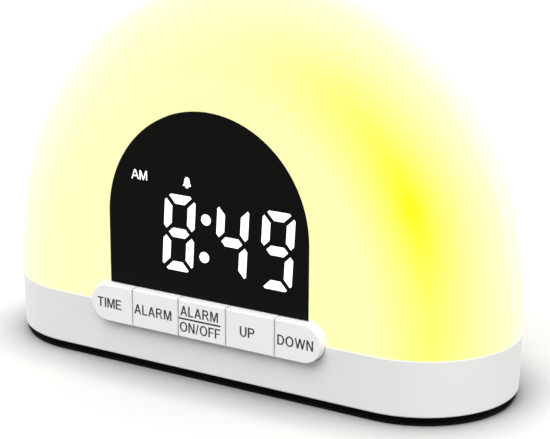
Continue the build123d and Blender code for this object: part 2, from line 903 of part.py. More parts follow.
def outline(corners, offset):
    """A flat shape from its corners, at an offset from the middle of the digits."""
    with BuildSketch() as shape:
        with BuildLine():
            Polyline([(offset[0] + x, digit_z + offset[1] + z) for x, z in corners], close=True)
        make_face()
    return shape.sketch


def indicators():
    """The colon, AM and the bell."""
    bell_x, bell_z = bell_offset[0], digit_z + bell_offset[1]
    with BuildSketch() as shapes:
        with Locations(*colon_places):
            Circle(colon_radius)
        add(outline(letter_a_corners, letter_a_offset))
        add(outline(letter_m_corners, letter_m_offset))
        add(outline(bell_corners, bell_offset))
        for height, radius in bell_circles:
            with Locations((bell_x, bell_z + height)):
                Circle(radius)
    return shapes.sketch


def a_bridge():
    """The web under the middle of the A, which ties it to the panel through the A's crossbar."""
    counter_z = letter_a_counter[0][1]
    crossbar_z = letter_a_corners[5][1]
    with BuildSketch() as web:
        with Locations((letter_a_offset[0], digit_z + letter_a_offset[1] + counter_z)):
            Rectangle(
                bridge_width,
                counter_z - crossbar_z + overcut / 2,
                align=(Align.CENTER, Align.MAX),
            )
    return web.sketch


colon_places = [(side * colon_half_height * slant, digit_z + side * colon_half_height) for side in (-1, 1)]
shown_bars = ["", "abcdefg", "bcfg", "abcdfg"]
indicator_shapes = indicators()
a_middle = outline(letter_a_counter, letter_a_offset)
lit_shapes = [bars(x, shown) for x, shown in zip(digit_centres, shown_bars) if shown]
unlit_shapes = [
    bars(x, [letter for letter in "abcdefg" if letter not in shown])
    for x, shown in zip(digit_centres, shown_bars)
    if shown != "abcdefg"
]
all_shapes = lit_shapes + unlit_shapes + [indicator_shapes]
pillars = [(x, digit_z + pillar_offset[1]) for x in (-pillar_offset[0], pillar_offset[0])]

with BuildPart() as display_panel:
    with BuildSketch(facing_front(wall_inner_y)):
        add(round_headed(window_half - slip_gap, sill_z))
    extrude(amount=shade_wall)
    with BuildSketch(facing_front(panel_back_y)):
        add(round_headed(window_half + panel_flange, shroud_sill_z))
    extrude(amount=panel_flange_thickness)
    with BuildSketch(facing_front(module_back_y)):
        with Locations(*pillars):
            Circle(pillar_radius)
    extrude(amount=module_depth)
    with BuildSketch(facing_front(module_back_y)):
        with Locations(*pillars):
            Circle(small_screw_radius + screw_gap)
    extrude(amount=module_depth, mode=Mode.SUBTRACT)
    with BuildSketch(facing_front(panel_back_y)):
        for shapes in all_shapes:
            add(shapes)
    extrude(amount=panel_back_y - front_y, mode=Mode.SUBTRACT)
    with BuildSketch(facing_front(panel_back_y)):
        add(a_middle)
    extrude(amount=panel_back_y - front_y)
    with BuildSketch(facing_front(panel_back_y)):
        add(a_bridge())
    extrude(amount=panel_flange_thickness)
finish(display_panel.part, "display_panel")

window_back_y = module_back_y - led_size[2] - led_gap
window_front_y = front_y + window_gap

with BuildPart() as lit_segments:
    with BuildSketch(facing_front(window_back_y)):
        for shapes in lit_shapes + [indicator_shapes]:
            add(shapes)
    extrude(amount=window_back_y - window_front_y)
    with BuildSketch(facing_front(panel_back_y)):
        add(a_middle)
    extrude(amount=panel_back_y - front_y, mode=Mode.SUBTRACT)
    with BuildSketch(facing_front(panel_back_y)):
        add(a_bridge())
    extrude(amount=panel_flange_thickness, mode=Mode.SUBTRACT)
finish(lit_segments.part, "lit_segments")

with BuildPart() as unlit_segments:
    with BuildSketch(facing_front(window_back_y)):
        for shapes in unlit_shapes:
            add(shapes)
    extrude(amount=window_back_y - window_front_y)
finish(unlit_segments.part, "unlit_segments")

with BuildPart() as display_module:
    with BuildSketch(facing_front(module_back_y)):
        add(round_headed(window_half - module_inset, module_sill_z))
        with Locations((0, digit_z + module_head_height)):
            Rectangle(
                window_width,
                window_width,
                align=(Align.CENTER, Align.MIN),
                mode=Mode.SUBTRACT,
            )
    extrude(amount=module_depth)
    with BuildSketch(facing_front(module_back_y)):
        for shapes in all_shapes:
            add(shapes)
    extrude(amount=module_depth, mode=Mode.SUBTRACT)
finish(display_module.part, "display_module")


def bar_middle(letter):
    """The middle of a bar, about the digit's middle."""
    points = bar_points(letter)
    x = sum(point[0] for point in points) / len(points)
    z = sum(point[1] for point in points) / len(points)
    return x + z * slant, z


led_places = [
    (x + bar_middle(letter)[0], digit_z + bar_middle(letter)[1])
    for x in digit_centres
    for letter in "abcdefg"
] + colon_places

with BuildPart() as segment_leds:
    with BuildSketch(facing_front(module_back_y)):
        with Locations(*led_places):
            Rectangle(led_size[0], led_size[1])
    extrude(amount=led_size[2])
finish(segment_leds.part, "segment_leds")

with BuildPart() as display_board:
    with BuildSketch(facing_front(display_board_back_y)):
        add(round_headed(window_half - slip_gap, board_sill_z))
        with Locations(*pillars):
            Circle(small_screw_radius + screw_clearance, mode=Mode.SUBTRACT)
    extrude(amount=board_thickness)
finish(display_board.part, "display_board")

shroud_inner_back_y = shroud_back_y - shroud_wall

with BuildPart() as display_shroud:
    with BuildSketch(facing_front(shroud_back_y)):
        add(round_headed(window_half + panel_flange, shroud_sill_z))
    extrude(amount=shroud_depth)
    with BuildSketch(facing_front(shroud_inner_back_y)):
        add(round_headed(window_half + panel_flange - shroud_wall, shroud_sill_z + shroud_wall))
    extrude(amount=shroud_depth, mode=Mode.SUBTRACT)
    with BuildSketch(facing_front(shroud_inner_back_y)):
        with Locations(*pillars):
            Circle(pillar_radius)
    extrude(amount=shroud_inner_back_y - display_board_back_y)
    with BuildSketch(facing_front(shroud_back_y)):
        with Locations(*pillars):
            Circle(small_screw_radius + screw_clearance)
    extrude(amount=shroud_depth, mode=Mode.SUBTRACT)
    with BuildSketch(level(shroud_sill_z)):
        with Locations((0, ribbon_y)):
            Rectangle(ribbon_width + ribbon_room, ribbon_room)
    extrude(amount=shroud_wall, mode=Mode.SUBTRACT)
finish(display_shroud.part, "display_shroud")

display_screws = small_screws(
    pillars,
    facing_front(shroud_back_y),
    1,
    shroud_back_y - module_back_y + pillar_grip,
)
finish(display_screws, "display_screws")

# ---------------------------------------------------------------------------------------------------------
# Lamp: deck, board and LEDs
# ---------------------------------------------------------------------------------------------------------

pocket_half = guide_length / 2 + pocket_room
lamp_lead_y = lamp_board_size[1] / 2 + lamp_lead_distance
lamp_hole_x = lamp_board_size[0] / 2 - hole_to_edge
lamp_hole_y = lamp_board_size[1] / 2 - hole_to_edge
lamp_board_holes = [(x, y) for x in (-lamp_hole_x, lamp_hole_x) for y in (-lamp_hole_y, lamp_hole_y)]
lamp_led_pitch = (lamp_board_size[0] - 2 * lamp_led_margin) / (lamp_led_columns - 1)

with BuildPart() as light_deck:
    with BuildSketch(level(deck_z)):
        stadium(deck_inset)
        with Locations((0, pocket_back_y)):
            Rectangle(
                2 * pocket_half,
                body_depth,
                align=(Align.CENTER, Align.MAX),
                mode=Mode.SUBTRACT,
            )
        with Locations((lamp_lead_x, lamp_lead_y)):
            Circle(lamp_lead_hole_radius, mode=Mode.SUBTRACT)
        with Locations(*side_posts, *end_posts):
            Circle(small_screw_radius + screw_clearance, mode=Mode.SUBTRACT)
        with Locations(*lamp_board_holes):
            Circle(small_screw_radius + screw_gap, mode=Mode.SUBTRACT)
    extrude(amount=deck_thickness)
finish(light_deck.part, "light_deck")

deck_screws = small_screws(
    side_posts + end_posts,
    level(deck_top_z),
    -1,
    deck_thickness + small_pilot_depth - tip_gap,
)
finish(deck_screws, "deck_screws")

with BuildPart() as lamp_board:
    with BuildSketch(level(deck_top_z)):
        RectangleRounded(lamp_board_size[0], lamp_board_size[1], lamp_board_corner)
        with Locations(*lamp_board_holes):
            Circle(small_screw_radius + screw_clearance, mode=Mode.SUBTRACT)
    extrude(amount=board_thickness)
finish(lamp_board.part, "lamp_board")

lamp_board_screws = small_screws(
    lamp_board_holes,
    level(deck_top_z + board_thickness),
    -1,
    board_thickness + deck_thickness - tip_gap,
)
finish(lamp_board_screws, "lamp_board_screws")

with BuildPart() as lamp_leds:
    with BuildSketch(level(deck_top_z + board_thickness)):
        with GridLocations(lamp_led_pitch, lamp_led_row_gap, lamp_led_columns, 2):
            Rectangle(lamp_led_size[0], lamp_led_size[1])
    extrude(amount=lamp_led_size[2])
finish(lamp_leds.part, "lamp_leds")

# ---------------------------------------------------------------------------------------------------------
# Electronics bay: main board, its components, power inlet and speaker
# ---------------------------------------------------------------------------------------------------------

with BuildPart() as main_board:
    with BuildSketch(level(main_board_z)):
        with Locations((0, main_board_y)):
            Rectangle(main_board_width, main_board_depth)
        with Locations(*board_holes):
            Circle(small_screw_radius + screw_clearance, mode=Mode.SUBTRACT)
    extrude(amount=board_thickness)
finish(main_board.part, "main_board")

main_board_screws = small_screws(
    board_holes,
    level(main_board_top_z),
    -1,
    board_thickness + main_board_standoff - tip_gap,
)
finish(main_board_screws, "main_board_screws")

with BuildPart() as control_chip:
    with BuildSketch(level(main_board_top_z)):
        with Locations((chip_offset[0], main_board_y + chip_offset[1])):
            Rectangle(chip_size[0], chip_size[1])
    extrude(amount=chip_size[2])
    chamfer(control_chip.faces().sort_by(Axis.Z)[-1].edges(), chip_chamfer)
finish(control_chip.part, "control_chip")

with BuildPart() as capacitors:
    with BuildSketch(level(main_board_top_z)):
        with Locations(*[(x - main_board_width / 2, main_board_y + y) for x, y in can_places]):
            Circle(can_radius)
    extrude(amount=can_height)
    fillet(capacitors.faces().group_by(Axis.Z)[-1].edges(), can_edge_fillet)
finish(capacitors.part, "capacitors")

socket_front_y = main_board_front_y + connector_inset
socket_right_x = main_board_width / 2 - connector_inset

with BuildPart() as board_connectors:
    with BuildSketch(level(main_board_top_z)):
        with Locations((display_ribbon_x, socket_front_y), (key_ribbon_x, socket_front_y)):
            Rectangle(ribbon_socket_size[0], ribbon_socket_size[1], align=(Align.CENTER, Align.MIN))
        with Locations((lamp_lead_x, lamp_lead_y)):
            Rectangle(lamp_socket_size[0], lamp_socket_size[1])
        with Locations((socket_right_x, 0)):
            Rectangle(speaker_socket_size[0], speaker_socket_size[1], align=(Align.MAX, Align.CENTER))
    extrude(amount=connector_height)
finish(board_connectors.part, "board_connectors")

inlet_front_y = back_y - inlet_recess - slip_gap
inlet_back_y = inlet_front_y - inlet_depth

with BuildPart() as inlet_shell:
    with BuildSketch(facing_front(inlet_front_y)):
        with Locations((0, inlet_z)):
            SlotOverall(inlet_width, inlet_height)
            SlotOverall(
                inlet_width - 2 * inlet_shell_wall,
                inlet_height - 2 * inlet_shell_wall,
                mode=Mode.SUBTRACT,
            )
    extrude(amount=inlet_depth)
finish(inlet_shell.part, "inlet_shell")

with BuildPart() as inlet_tongue:
    with BuildSketch(facing_front(inlet_back_y + inlet_block_depth)):
        with Locations((0, inlet_z)):
            SlotOverall(
                inlet_width - 2 * inlet_shell_wall, inlet_height - 2 * inlet_shell_wall
            )
    extrude(amount=inlet_block_depth)
    with BuildSketch(facing_front(inlet_back_y + inlet_block_depth + tongue_size[2])):
        with Locations((0, inlet_z)):
            Rectangle(tongue_size[0], tongue_size[1])
    extrude(amount=tongue_size[2])
finish(inlet_tongue.part, "inlet_tongue")


def turned(profile):
    """A solid of revolution about the speaker's axis: the profile's points are radius and height."""
    with BuildPart() as solid:
        with BuildSketch(Plane.XZ):
            with BuildLine():
                Polyline(profile, close=True)
            make_face()
        revolve(axis=Axis.Z)
    return Location((speaker_x, 0, cover_floor_z)) * solid.part


lip_radius = speaker_radius - basket_lip
bore_radius = magnet_radius - basket_bore_wall
throat_z = cone_edge_height + cone_depth

finish(
    turned(
        [
            (lip_radius, 0),
            (speaker_radius, 0),
            (speaker_radius, basket_rim),
            (lip_radius + basket_wall, basket_rim),
            (magnet_radius + basket_wall, basket_depth),
            (bore_radius, basket_depth),
            (bore_radius, basket_depth - basket_wall),
            (magnet_radius, basket_depth - basket_wall),
            (lip_radius, basket_rim),
        ]
    ),
    "speaker_basket",
)
finish(
    turned(
        [
            (0, basket_depth),
            (magnet_radius, basket_depth),
            (magnet_radius, basket_depth + magnet_height),
            (0, basket_depth + magnet_height),
        ]
    ),
    "speaker_magnet",
)
finish(
    turned(
        [
            (0, throat_z - cone_dome_depth),
            (coil_radius, throat_z),
            (lip_radius, cone_edge_height),
            (lip_radius, cone_edge_height + cone_wall),
            (coil_radius, throat_z + cone_wall),
            (coil_radius, basket_depth - coil_gap),
            (coil_radius - cone_wall, basket_depth - coil_gap),
            (coil_radius - cone_wall, throat_z + cone_wall),
            (0, throat_z + cone_wall - cone_dome_depth),
        ]
    ),
    "speaker_cone",
)

# ---------------------------------------------------------------------------------------------------------
# Leads between the boards
# ---------------------------------------------------------------------------------------------------------


def ribbon(centre_x, points):
    """A flat ribbon of conductors: its path is in the YZ plane, as depth and height."""
    with BuildPart() as lead:
        with BuildSketch(Plane.YZ.offset(centre_x - ribbon_width / 2)):
            with BuildLine():
                FilletPolyline(*points, radius=ribbon_bend_radius)
            trace(line_width=ribbon_thickness)
        extrude(amount=ribbon_width)
    return lead.part


socket_z = main_board_top_z + connector_height / 2
display_ribbon_tail_y = display_board_back_y + ribbon_thickness / 2
display_ribbon_bend_z = board_sill_z + ribbon_tail + 2 * ribbon_bend_radius
display_ribbon_drop = ribbon_y - display_ribbon_tail_y
key_ribbon_y = key_board_back_y + ribbon_thickness / 2
finish(
    ribbon(
        display_ribbon_x,
        [
            (display_ribbon_tail_y, display_ribbon_bend_z + ribbon_tail),
            (display_ribbon_tail_y, display_ribbon_bend_z),
            (ribbon_y, display_ribbon_bend_z - display_ribbon_drop),
            (ribbon_y, socket_z),
            (socket_front_y, socket_z),
        ],
    ),
    "display_ribbon",
)
finish(
    ribbon(
        key_ribbon_x,
        [
            (key_ribbon_y, key_row_z + ribbon_tail),
            (key_ribbon_y, socket_z),
            (socket_front_y, socket_z),
        ],
    ),
    "key_ribbon",
)


def leads(paths):
    """Round leads, one solid for each path."""
    with BuildPart() as group:
        for points in paths:
            with BuildLine() as route:
                FilletPolyline(*points, radius=lead_bend_radius)
            with BuildSketch(Plane(origin=route.line @ 0, z_dir=route.line % 0)):
                Circle(lead_radius)
            sweep()
    return group.part


lamp_lead_z = deck_top_z + board_thickness + lead_radius
magnet_side_x = speaker_x - magnet_radius
magnet_z = cover_floor_z + basket_depth + magnet_height / 2
lead_step_x = (magnet_side_x + socket_right_x) / 2
lead_sides = [-lead_pitch / 2, lead_pitch / 2]
finish(
    leads(
        [
            [
                (lamp_lead_x + side, lamp_board_size[1] / 2 - ribbon_tail, lamp_lead_z),
                (lamp_lead_x + side, lamp_lead_y, lamp_lead_z),
                (lamp_lead_x + side, lamp_lead_y, main_board_top_z + connector_height),
            ]
            for side in lead_sides
        ]
    ),
    "lamp_leads",
)
finish(
    leads(
        [
            [
                (magnet_side_x, side, magnet_z),
                (lead_step_x + lead_bend_radius, side, magnet_z),
                (lead_step_x - lead_bend_radius, side, socket_z),
                (socket_right_x, side, socket_z),
            ]
            for side in lead_sides
        ]
    ),
    "speaker_leads",
)
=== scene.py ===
"""Looks of a sunrise alarm clock: a glowing arched shade on a white base, a digital display and five keys.

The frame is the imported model's: +X along the width, -Y out of the front, +Z up. Shader sizes are metres.
Sizes of pieces are millimetres, which Shape turns into metres when it makes a mesh.
"""

from __future__ import annotations

import json
import logging
import math
from collections.abc import Callable, Iterable, Sequence
from dataclasses import dataclass
from enum import Enum
from typing import Any

import bmesh
import bpy
from mathutils import Matrix, Vector
from mathutils.geometry import tessellate_polygon

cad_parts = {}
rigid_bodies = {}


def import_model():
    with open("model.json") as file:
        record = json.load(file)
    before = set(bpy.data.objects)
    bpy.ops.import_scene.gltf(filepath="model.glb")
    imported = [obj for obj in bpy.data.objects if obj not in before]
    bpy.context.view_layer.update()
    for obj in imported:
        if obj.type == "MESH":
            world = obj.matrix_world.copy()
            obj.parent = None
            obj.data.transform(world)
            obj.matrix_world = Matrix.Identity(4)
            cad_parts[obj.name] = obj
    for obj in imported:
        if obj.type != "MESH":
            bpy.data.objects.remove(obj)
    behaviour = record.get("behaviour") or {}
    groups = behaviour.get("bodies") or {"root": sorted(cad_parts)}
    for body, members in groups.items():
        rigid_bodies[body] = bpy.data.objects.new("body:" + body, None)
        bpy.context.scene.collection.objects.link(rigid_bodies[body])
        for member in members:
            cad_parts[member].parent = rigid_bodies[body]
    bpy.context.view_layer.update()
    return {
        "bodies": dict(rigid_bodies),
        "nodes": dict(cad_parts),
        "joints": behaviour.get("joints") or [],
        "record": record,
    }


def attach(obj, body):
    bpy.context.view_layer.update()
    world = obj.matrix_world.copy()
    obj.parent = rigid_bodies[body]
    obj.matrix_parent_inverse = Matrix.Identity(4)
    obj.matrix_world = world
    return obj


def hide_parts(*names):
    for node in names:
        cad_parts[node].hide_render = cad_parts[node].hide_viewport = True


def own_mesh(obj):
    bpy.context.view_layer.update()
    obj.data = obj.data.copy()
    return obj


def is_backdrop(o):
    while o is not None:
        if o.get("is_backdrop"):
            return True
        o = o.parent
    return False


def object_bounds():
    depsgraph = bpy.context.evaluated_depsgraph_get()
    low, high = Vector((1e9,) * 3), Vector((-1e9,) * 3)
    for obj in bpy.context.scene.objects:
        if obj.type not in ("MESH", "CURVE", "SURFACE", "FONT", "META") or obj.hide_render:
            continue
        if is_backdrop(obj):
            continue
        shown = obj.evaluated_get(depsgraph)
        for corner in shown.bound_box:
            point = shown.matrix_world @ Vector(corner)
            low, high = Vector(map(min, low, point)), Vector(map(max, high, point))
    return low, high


LOG = logging.getLogger("clock")
MM = 0.001
SIDES = (-1, 1)
BLACK = (0.0, 0.0, 0.0)
Colour = tuple[float, float, float]
Flat = tuple[float, float]
Outline = list[Flat]
Places = tuple[Flat, ...]
Pairs = tuple[tuple[float, tuple[float, ...]], ...]
Point = tuple[float, float, float]


def operator(operation: str, swapped: bool = False) -> Callable[[Wire, Any], Wire]:
    """A method of Wire for one of Python's operators.

    Args:
        operation: The Math node's operation.
        swapped: Whether the wire is on the operator's right.

    Returns:
        The method, which adds one Math node.
    """

    def method(wire: Wire, other: Any) -> Wire:
        """The outcome for a wire and another wire or a number."""
        return wire.graph.maths(operation, *((other, wire) if swapped else (wire, other)))

    return method


class Wire:
    """The output of a shader node, on which Python's operators add Math nodes."""

    def __init__(self, graph: Graph, socket: bpy.types.NodeSocket) -> None:
        """Wraps one output socket of a graph."""
        self.graph = graph
        self.socket = socket

    __add__, __radd__ = operator("ADD"), operator("ADD", True)
    __sub__, __rsub__ = operator("SUBTRACT"), operator("SUBTRACT", True)
    __mul__, __rmul__ = operator("MULTIPLY"), operator("MULTIPLY", True)
    __truediv__, __mod__ = operator("DIVIDE"), operator("FLOORED_MODULO")
    __gt__, __lt__ = operator("GREATER_THAN"), operator("LESS_THAN")
    __pow__ = operator("POWER")

    def __abs__(self) -> Wire:
        """Size without sign."""
        return self.graph.maths("ABSOLUTE", self)


class Graph:
    """The node tree of one material or of the world."""

    def __init__(self, tree: bpy.types.NodeTree) -> None:
        """Takes a tree and empties it."""
        self.tree = tree
        tree.nodes.clear()

    def add(
        self,
        kind: str,
        settings: dict[str, Any] | None = None,
        inputs: dict[Any, Any] | None = None,
        output: int | str = 0,
    ) -> Wire:
        """Adds any node.

        Args:
            kind: The node's type.
            settings: Its properties, set first. "stops" holds a ramp's positions and colours.
            inputs: A value or a wire for each socket, by name or number.
            output: The output that is wanted.

        Returns:
            The wanted output.
        """
        node = self.tree.nodes.new(kind)
        for name, value in (settings or {}).items():
            if name == "stops":
                self._set_stops(node.color_ramp, value)
            else:
                setattr(node, name, value)
        for name, value in (inputs or {}).items():
            if isinstance(value, Wire):
                self.tree.links.new(value.socket, node.inputs[name])
            else:
                node.inputs[name].default_value = value
        return Wire(self, node.outputs[output])

    @staticmethod
    def _set_stops(ramp: bpy.types.ColorRamp, stops: Sequence[tuple[float, Colour]]) -> None:
        """Gives a colour ramp its stops.

        Args:
            ramp: The ramp, which has two stops as yet.
            stops: The position and colour of each.
        """
        while len(ramp.elements) < len(stops):
            ramp.elements.new(1.0)
        for element, (position, colour) in zip(ramp.elements, stops):
            element.position = position
            element.color = (*colour, 1.0)

    def maths(self, operation: str, *values: Any) -> Wire:
        """One Math node over values or wires."""
        return self.add("ShaderNodeMath", {"operation": operation}, dict(enumerate(values)))

    def most(self, first: Any, second: Any) -> Wire:
        """The larger of two values."""
        return self.maths("MAXIMUM", first, second)

    def place(self) -> Wire:
        """The place in the object, in metres."""
        return self.add("ShaderNodeTexCoord", output="Object")

    def axes(self) -> tuple[Wire, ...]:
        """The place's X, Y and Z."""
        node = self.add("ShaderNodeSeparateXYZ", inputs={0: self.place()}).socket.node
        return tuple(Wire(self, socket) for socket in node.outputs)

    def noise(self, size: float, detail: float = 2.0, vector: Wire | None = None) -> Wire:
        """Noise from 0 to 1 whose blotches are about size metres across."""
        inputs = {"Vector": vector or self.place(), "Scale": 1.0 / size, "Detail": detail}
        return self.add("ShaderNodeTexNoise", inputs=inputs)

    def stretched(self, scale: Point) -> Wire:
        """The place, with each axis multiplied by its own number."""
        return self.add("ShaderNodeVectorMath", {"operation": "MULTIPLY"}, {0: self.place(), 1: scale})

    def mix(self, first: Any, second: Any, factor: Any) -> Wire:
        """A colour between two colours."""
        ends = [value if isinstance(value, Wire) else (*value, 1.0) for value in (first, second)]
        return self.add("ShaderNodeMix", {"data_type": "RGBA"}, {0: factor, 6: ends[0], 7: ends[1]}, 2)

    def ramp(self, value: Wire, stops: Sequence[tuple[float, Colour]]) -> Wire:
        """A colour for each value from 0 to 1."""
        return self.add("ShaderNodeValToRGB", {"stops": stops}, {0: value})

    def remap(self, value: Wire, low: float, high: float) -> Wire:
        """The value's place between low and high, held to 0..1 and eased at both ends."""
        inputs = {"Value": value, "From Min": low, "From Max": high, "To Min": 0.0, "To Max": 1.0}
        return self.add("ShaderNodeMapRange", {"interpolation_type": "SMOOTHSTEP"}, inputs)

    def between(self, low: float, high: float, share: Wire) -> Wire:
        """A number between low and high."""
        return low + (high - low) * share

    def bump(self, height: Wire, distance: float) -> Wire:
        """A normal tilted by a height map."""
        return self.add("ShaderNodeBump", inputs={"Height": height, "Distance": distance})

    def seen(self) -> Wire:
        """Whether a ray comes from the camera, or from a shiny or clear thing that it hits.

        Returns:
            1 for such a ray, else 0.
        """
        path = self.add("ShaderNodeLightPath").socket.node
        names = ("Is Camera Ray", "Is Glossy Ray", "Is Transmission Ray")
        camera, glossy, clear = (Wire(self, path.outputs[name]) for name in names)
        return self.most(self.most(camera, glossy), clear)

    def surface(self, **inputs: Any) -> Wire:
        """A Principled shader.

        Args:
            **inputs: A value or wire for each socket. An underscore stands for a space, and a colour is
                three numbers.

        Returns:
            The shader.
        """
        values = {}
        for name, value in inputs.items():
            wide = isinstance(value, tuple) and len(value) == 3
            values[name.replace("_", " ")] = (*value, 1.0) if wide else value
        return self.add("ShaderNodeBsdfPrincipled", inputs=values)

    def finish(self, shader: Wire, kind: str = "ShaderNodeOutputMaterial") -> None:
        """Links a shader to the tree's output."""
        output = self.tree.nodes.new(kind)
        self.tree.links.new(shader.socket, output.inputs["Surface"])


def from_screen(level: float) -> float:
    """The linear strength of a screen level from 0 to 255."""
    share = level / 255
    return share / 12.92 if share <= 0.04045 else ((share + 0.055) / 1.055) ** 2.4


def shaded(colour: Colour, share: float) -> Colour:
    """A colour made darker (a share below 1) or lighter."""
    return tuple(min(1.0, channel * share) for channel in colour)


class Coat:
    """What all finishes share: a way to make a material of their shader."""

    def shader(self, graph: Graph) -> Wire:
        """Draws the finish. Each kind of finish has its own."""
        raise NotImplementedError

    def material(self, name: str) -> bpy.types.Material:
        """Makes the material.

        Args:
            name: Its name.

        Returns:
            The new material.
        """
        material = bpy.data.materials.new(name)
        material.use_nodes = True
        graph = Graph(material.node_tree)
        graph.finish(self.shader(graph))
        return material


@dataclass(frozen=True)
class Plastic(Coat):
    """A moulded plastic: faint blotches in its colour, and the mould's spark-eroded grain."""

    colour: Colour
    roughness: float = 0.5
    mottle: float = 0.03
    grain: float = 0.00035
    depth: float = 0.00001
    gloss: float = 0.4
    blotch: float = 0.02
    uneven: float = 0.05

    def shader(self, graph: Graph) -> Wire:
        """Draws the blotches and the grain.

        Args:
            graph: The material's graph.

        Returns:
            The shader.
        """
        blotch = graph.noise(self.blotch, 3.0)
        dark, light = (shaded(self.colour, 1.0 + side * self.mottle) for side in SIDES)
        return graph.surface(
            Base_Color=graph.mix(dark, light, blotch),
            Roughness=graph.between(self.roughness - self.uneven, self.roughness + self.uneven, blotch),
            Specular_IOR_Level=self.gloss,
            Normal=graph.bump(graph.noise(self.grain), self.depth),
        )


@dataclass(frozen=True)
class Rubber(Coat):
    """A dark anti-slip rubber with rows of small round pips, dusty between them."""

    colour: Colour
    pitch: float = 0.0016
    pip_foot: float = 0.42
    pip_top: float = 0.28
    pip_height: float = 0.00015
    dust: float = 0.008
    dust_share: float = 1.8
    swept: float = 0.6
    roughness: Flat = (0.78, 0.88)
    gloss: float = 0.15

    def shader(self, graph: Graph) -> Wire:
        """Draws the pips and the dust.

        Args:
            graph: The material's graph.

        Returns:
            The shader.
        """
        x, y, _ = graph.axes()
        across, along = (abs(axis % self.pitch - self.pitch / 2) / self.pitch for axis in (x, y))
        pip = graph.remap((across**2 + along**2) ** 0.5, self.pip_foot, self.pip_top)
        dust = graph.noise(self.dust, 4.0)
        dusty = shaded(self.colour, self.dust_share)
        return graph.surface(
            Base_Color=graph.mix(self.colour, dusty, dust * (1 - self.swept * pip)),
            Roughness=graph.between(*self.roughness, dust),
            Specular_IOR_Level=self.gloss,
            Normal=graph.bump(pip, self.pip_height),
        )


@dataclass(frozen=True)
class Metal(Coat):
    """A plated or drawn metal, with fine lines along one axis of its stretch."""

    colour: Colour
    roughness: float = 0.3
    stretch: Point = (1.0, 1.0, 12.0)
    line: float = 0.0006
    depth: float = 0.000006
    tarnish: float = 0.006
    tarnish_share: float = 0.82
    brushed: float = 0.18

    def shader(self, graph: Graph) -> Wire:
        """Draws the lines and the tarnish.

        Args:
            graph: The material's graph.

        Returns:
            The shader.
        """
        lines = graph.noise(self.line, 2.0, graph.stretched(self.stretch))
        dull = shaded(self.colour, self.tarnish_share)
        return graph.surface(
            Base_Color=graph.mix(self.colour, dull, graph.noise(self.tarnish, 3.0)),
            Metallic=1.0,
            Roughness=graph.between(self.roughness, self.roughness + self.brushed, lines),
            Normal=graph.bump(lines, self.depth),
        )


@dataclass(frozen=True)
class Board(Coat):
    """A printed circuit board: solder mask over copper tracks that run now one way, now the other."""

    mask: Colour
    track: Colour
    pitch: float = 0.00127
    width: float = 0.36
    thickness: float = 0.00003
    turn: float = 0.009
    field: float = 0.014
    bare_share: float = 0.46
    cloud: float = 0.02
    cloud_share: float = 0.8
    roughness: Flat = (0.28, 0.4)
    gloss: float = 0.5

    def shader(self, graph: Graph) -> Wire:
        """Draws the tracks under the mask.

        Args:
            graph: The material's graph.

        Returns:
            The shader.
        """
        x, y, z = graph.axes()
        level, upright = (axis % self.pitch / self.pitch < self.width for axis in (x, y + z))
        turn = graph.noise(self.turn, 0.0) > 0.5
        routed = graph.noise(self.field, 1.0) > self.bare_share
        tracks = (turn * level + (1 - turn) * upright) * routed
        cloud = graph.noise(self.cloud)
        tone = graph.mix(self.mask, shaded(self.mask, self.cloud_share), cloud)
        return graph.surface(
            Base_Color=graph.mix(tone, self.track, tracks),
            Roughness=graph.between(*self.roughness, cloud),
            Specular_IOR_Level=self.gloss,
            Normal=graph.bump(tracks, self.thickness),
        )


@dataclass(frozen=True)
class Ribbon(Coat):
    """A flat cable: tinned conductors that show as stripes through a white film."""

    film: Colour
    conductor: Colour
    pitch: float = 0.001
    stripe_half: float = 0.0002
    stripe_edge: float = 0.00028
    thickness: float = 0.00004
    cloud: float = 0.01
    strength: Flat = (0.8, 1.0)
    roughness: Flat = (0.3, 0.4)

    def shader(self, graph: Graph) -> Wire:
        """Draws the stripes.

        Args:
            graph: The material's graph.

        Returns:
            The shader.
        """
        x, _, _ = graph.axes()
        stripe = graph.remap(abs(x % self.pitch - self.pitch / 2), self.stripe_edge, self.stripe_half)
        cloud = graph.noise(self.cloud)
        return graph.surface(
            Base_Color=graph.mix(self.film, self.conductor, stripe * graph.between(*self.strength, cloud)),
            Roughness=graph.between(*self.roughness, cloud),
            Normal=graph.bump(stripe, self.thickness),
        )


@dataclass(frozen=True)
class WirePair(Coat):
    """The insulation of the leads: of each pair, one is red and one is black."""

    red: Colour
    black: Colour
    pairs_divide_x: float = 25.0 * MM
    lamp_middle_x: float = 20.0 * MM
    cloud: float = 0.003
    depth: float = 0.00002
    roughness: Flat = (0.36, 0.48)

    def shader(self, graph: Graph) -> Wire:
        """Draws both leads of each pair.

        Args:
            graph: The material's graph.

        Returns:
            The shader.
        """
        x, y, _ = graph.axes()
        speaker = x > self.pairs_divide_x
        is_red = speaker * (y > 0.0) + (1 - speaker) * (x > self.lamp_middle_x)
        cloud = graph.noise(self.cloud)
        return graph.surface(
            Base_Color=graph.mix(self.black, self.red, is_red),
            Roughness=graph.between(*self.roughness, cloud),
            Normal=graph.bump(cloud, self.depth),
        )


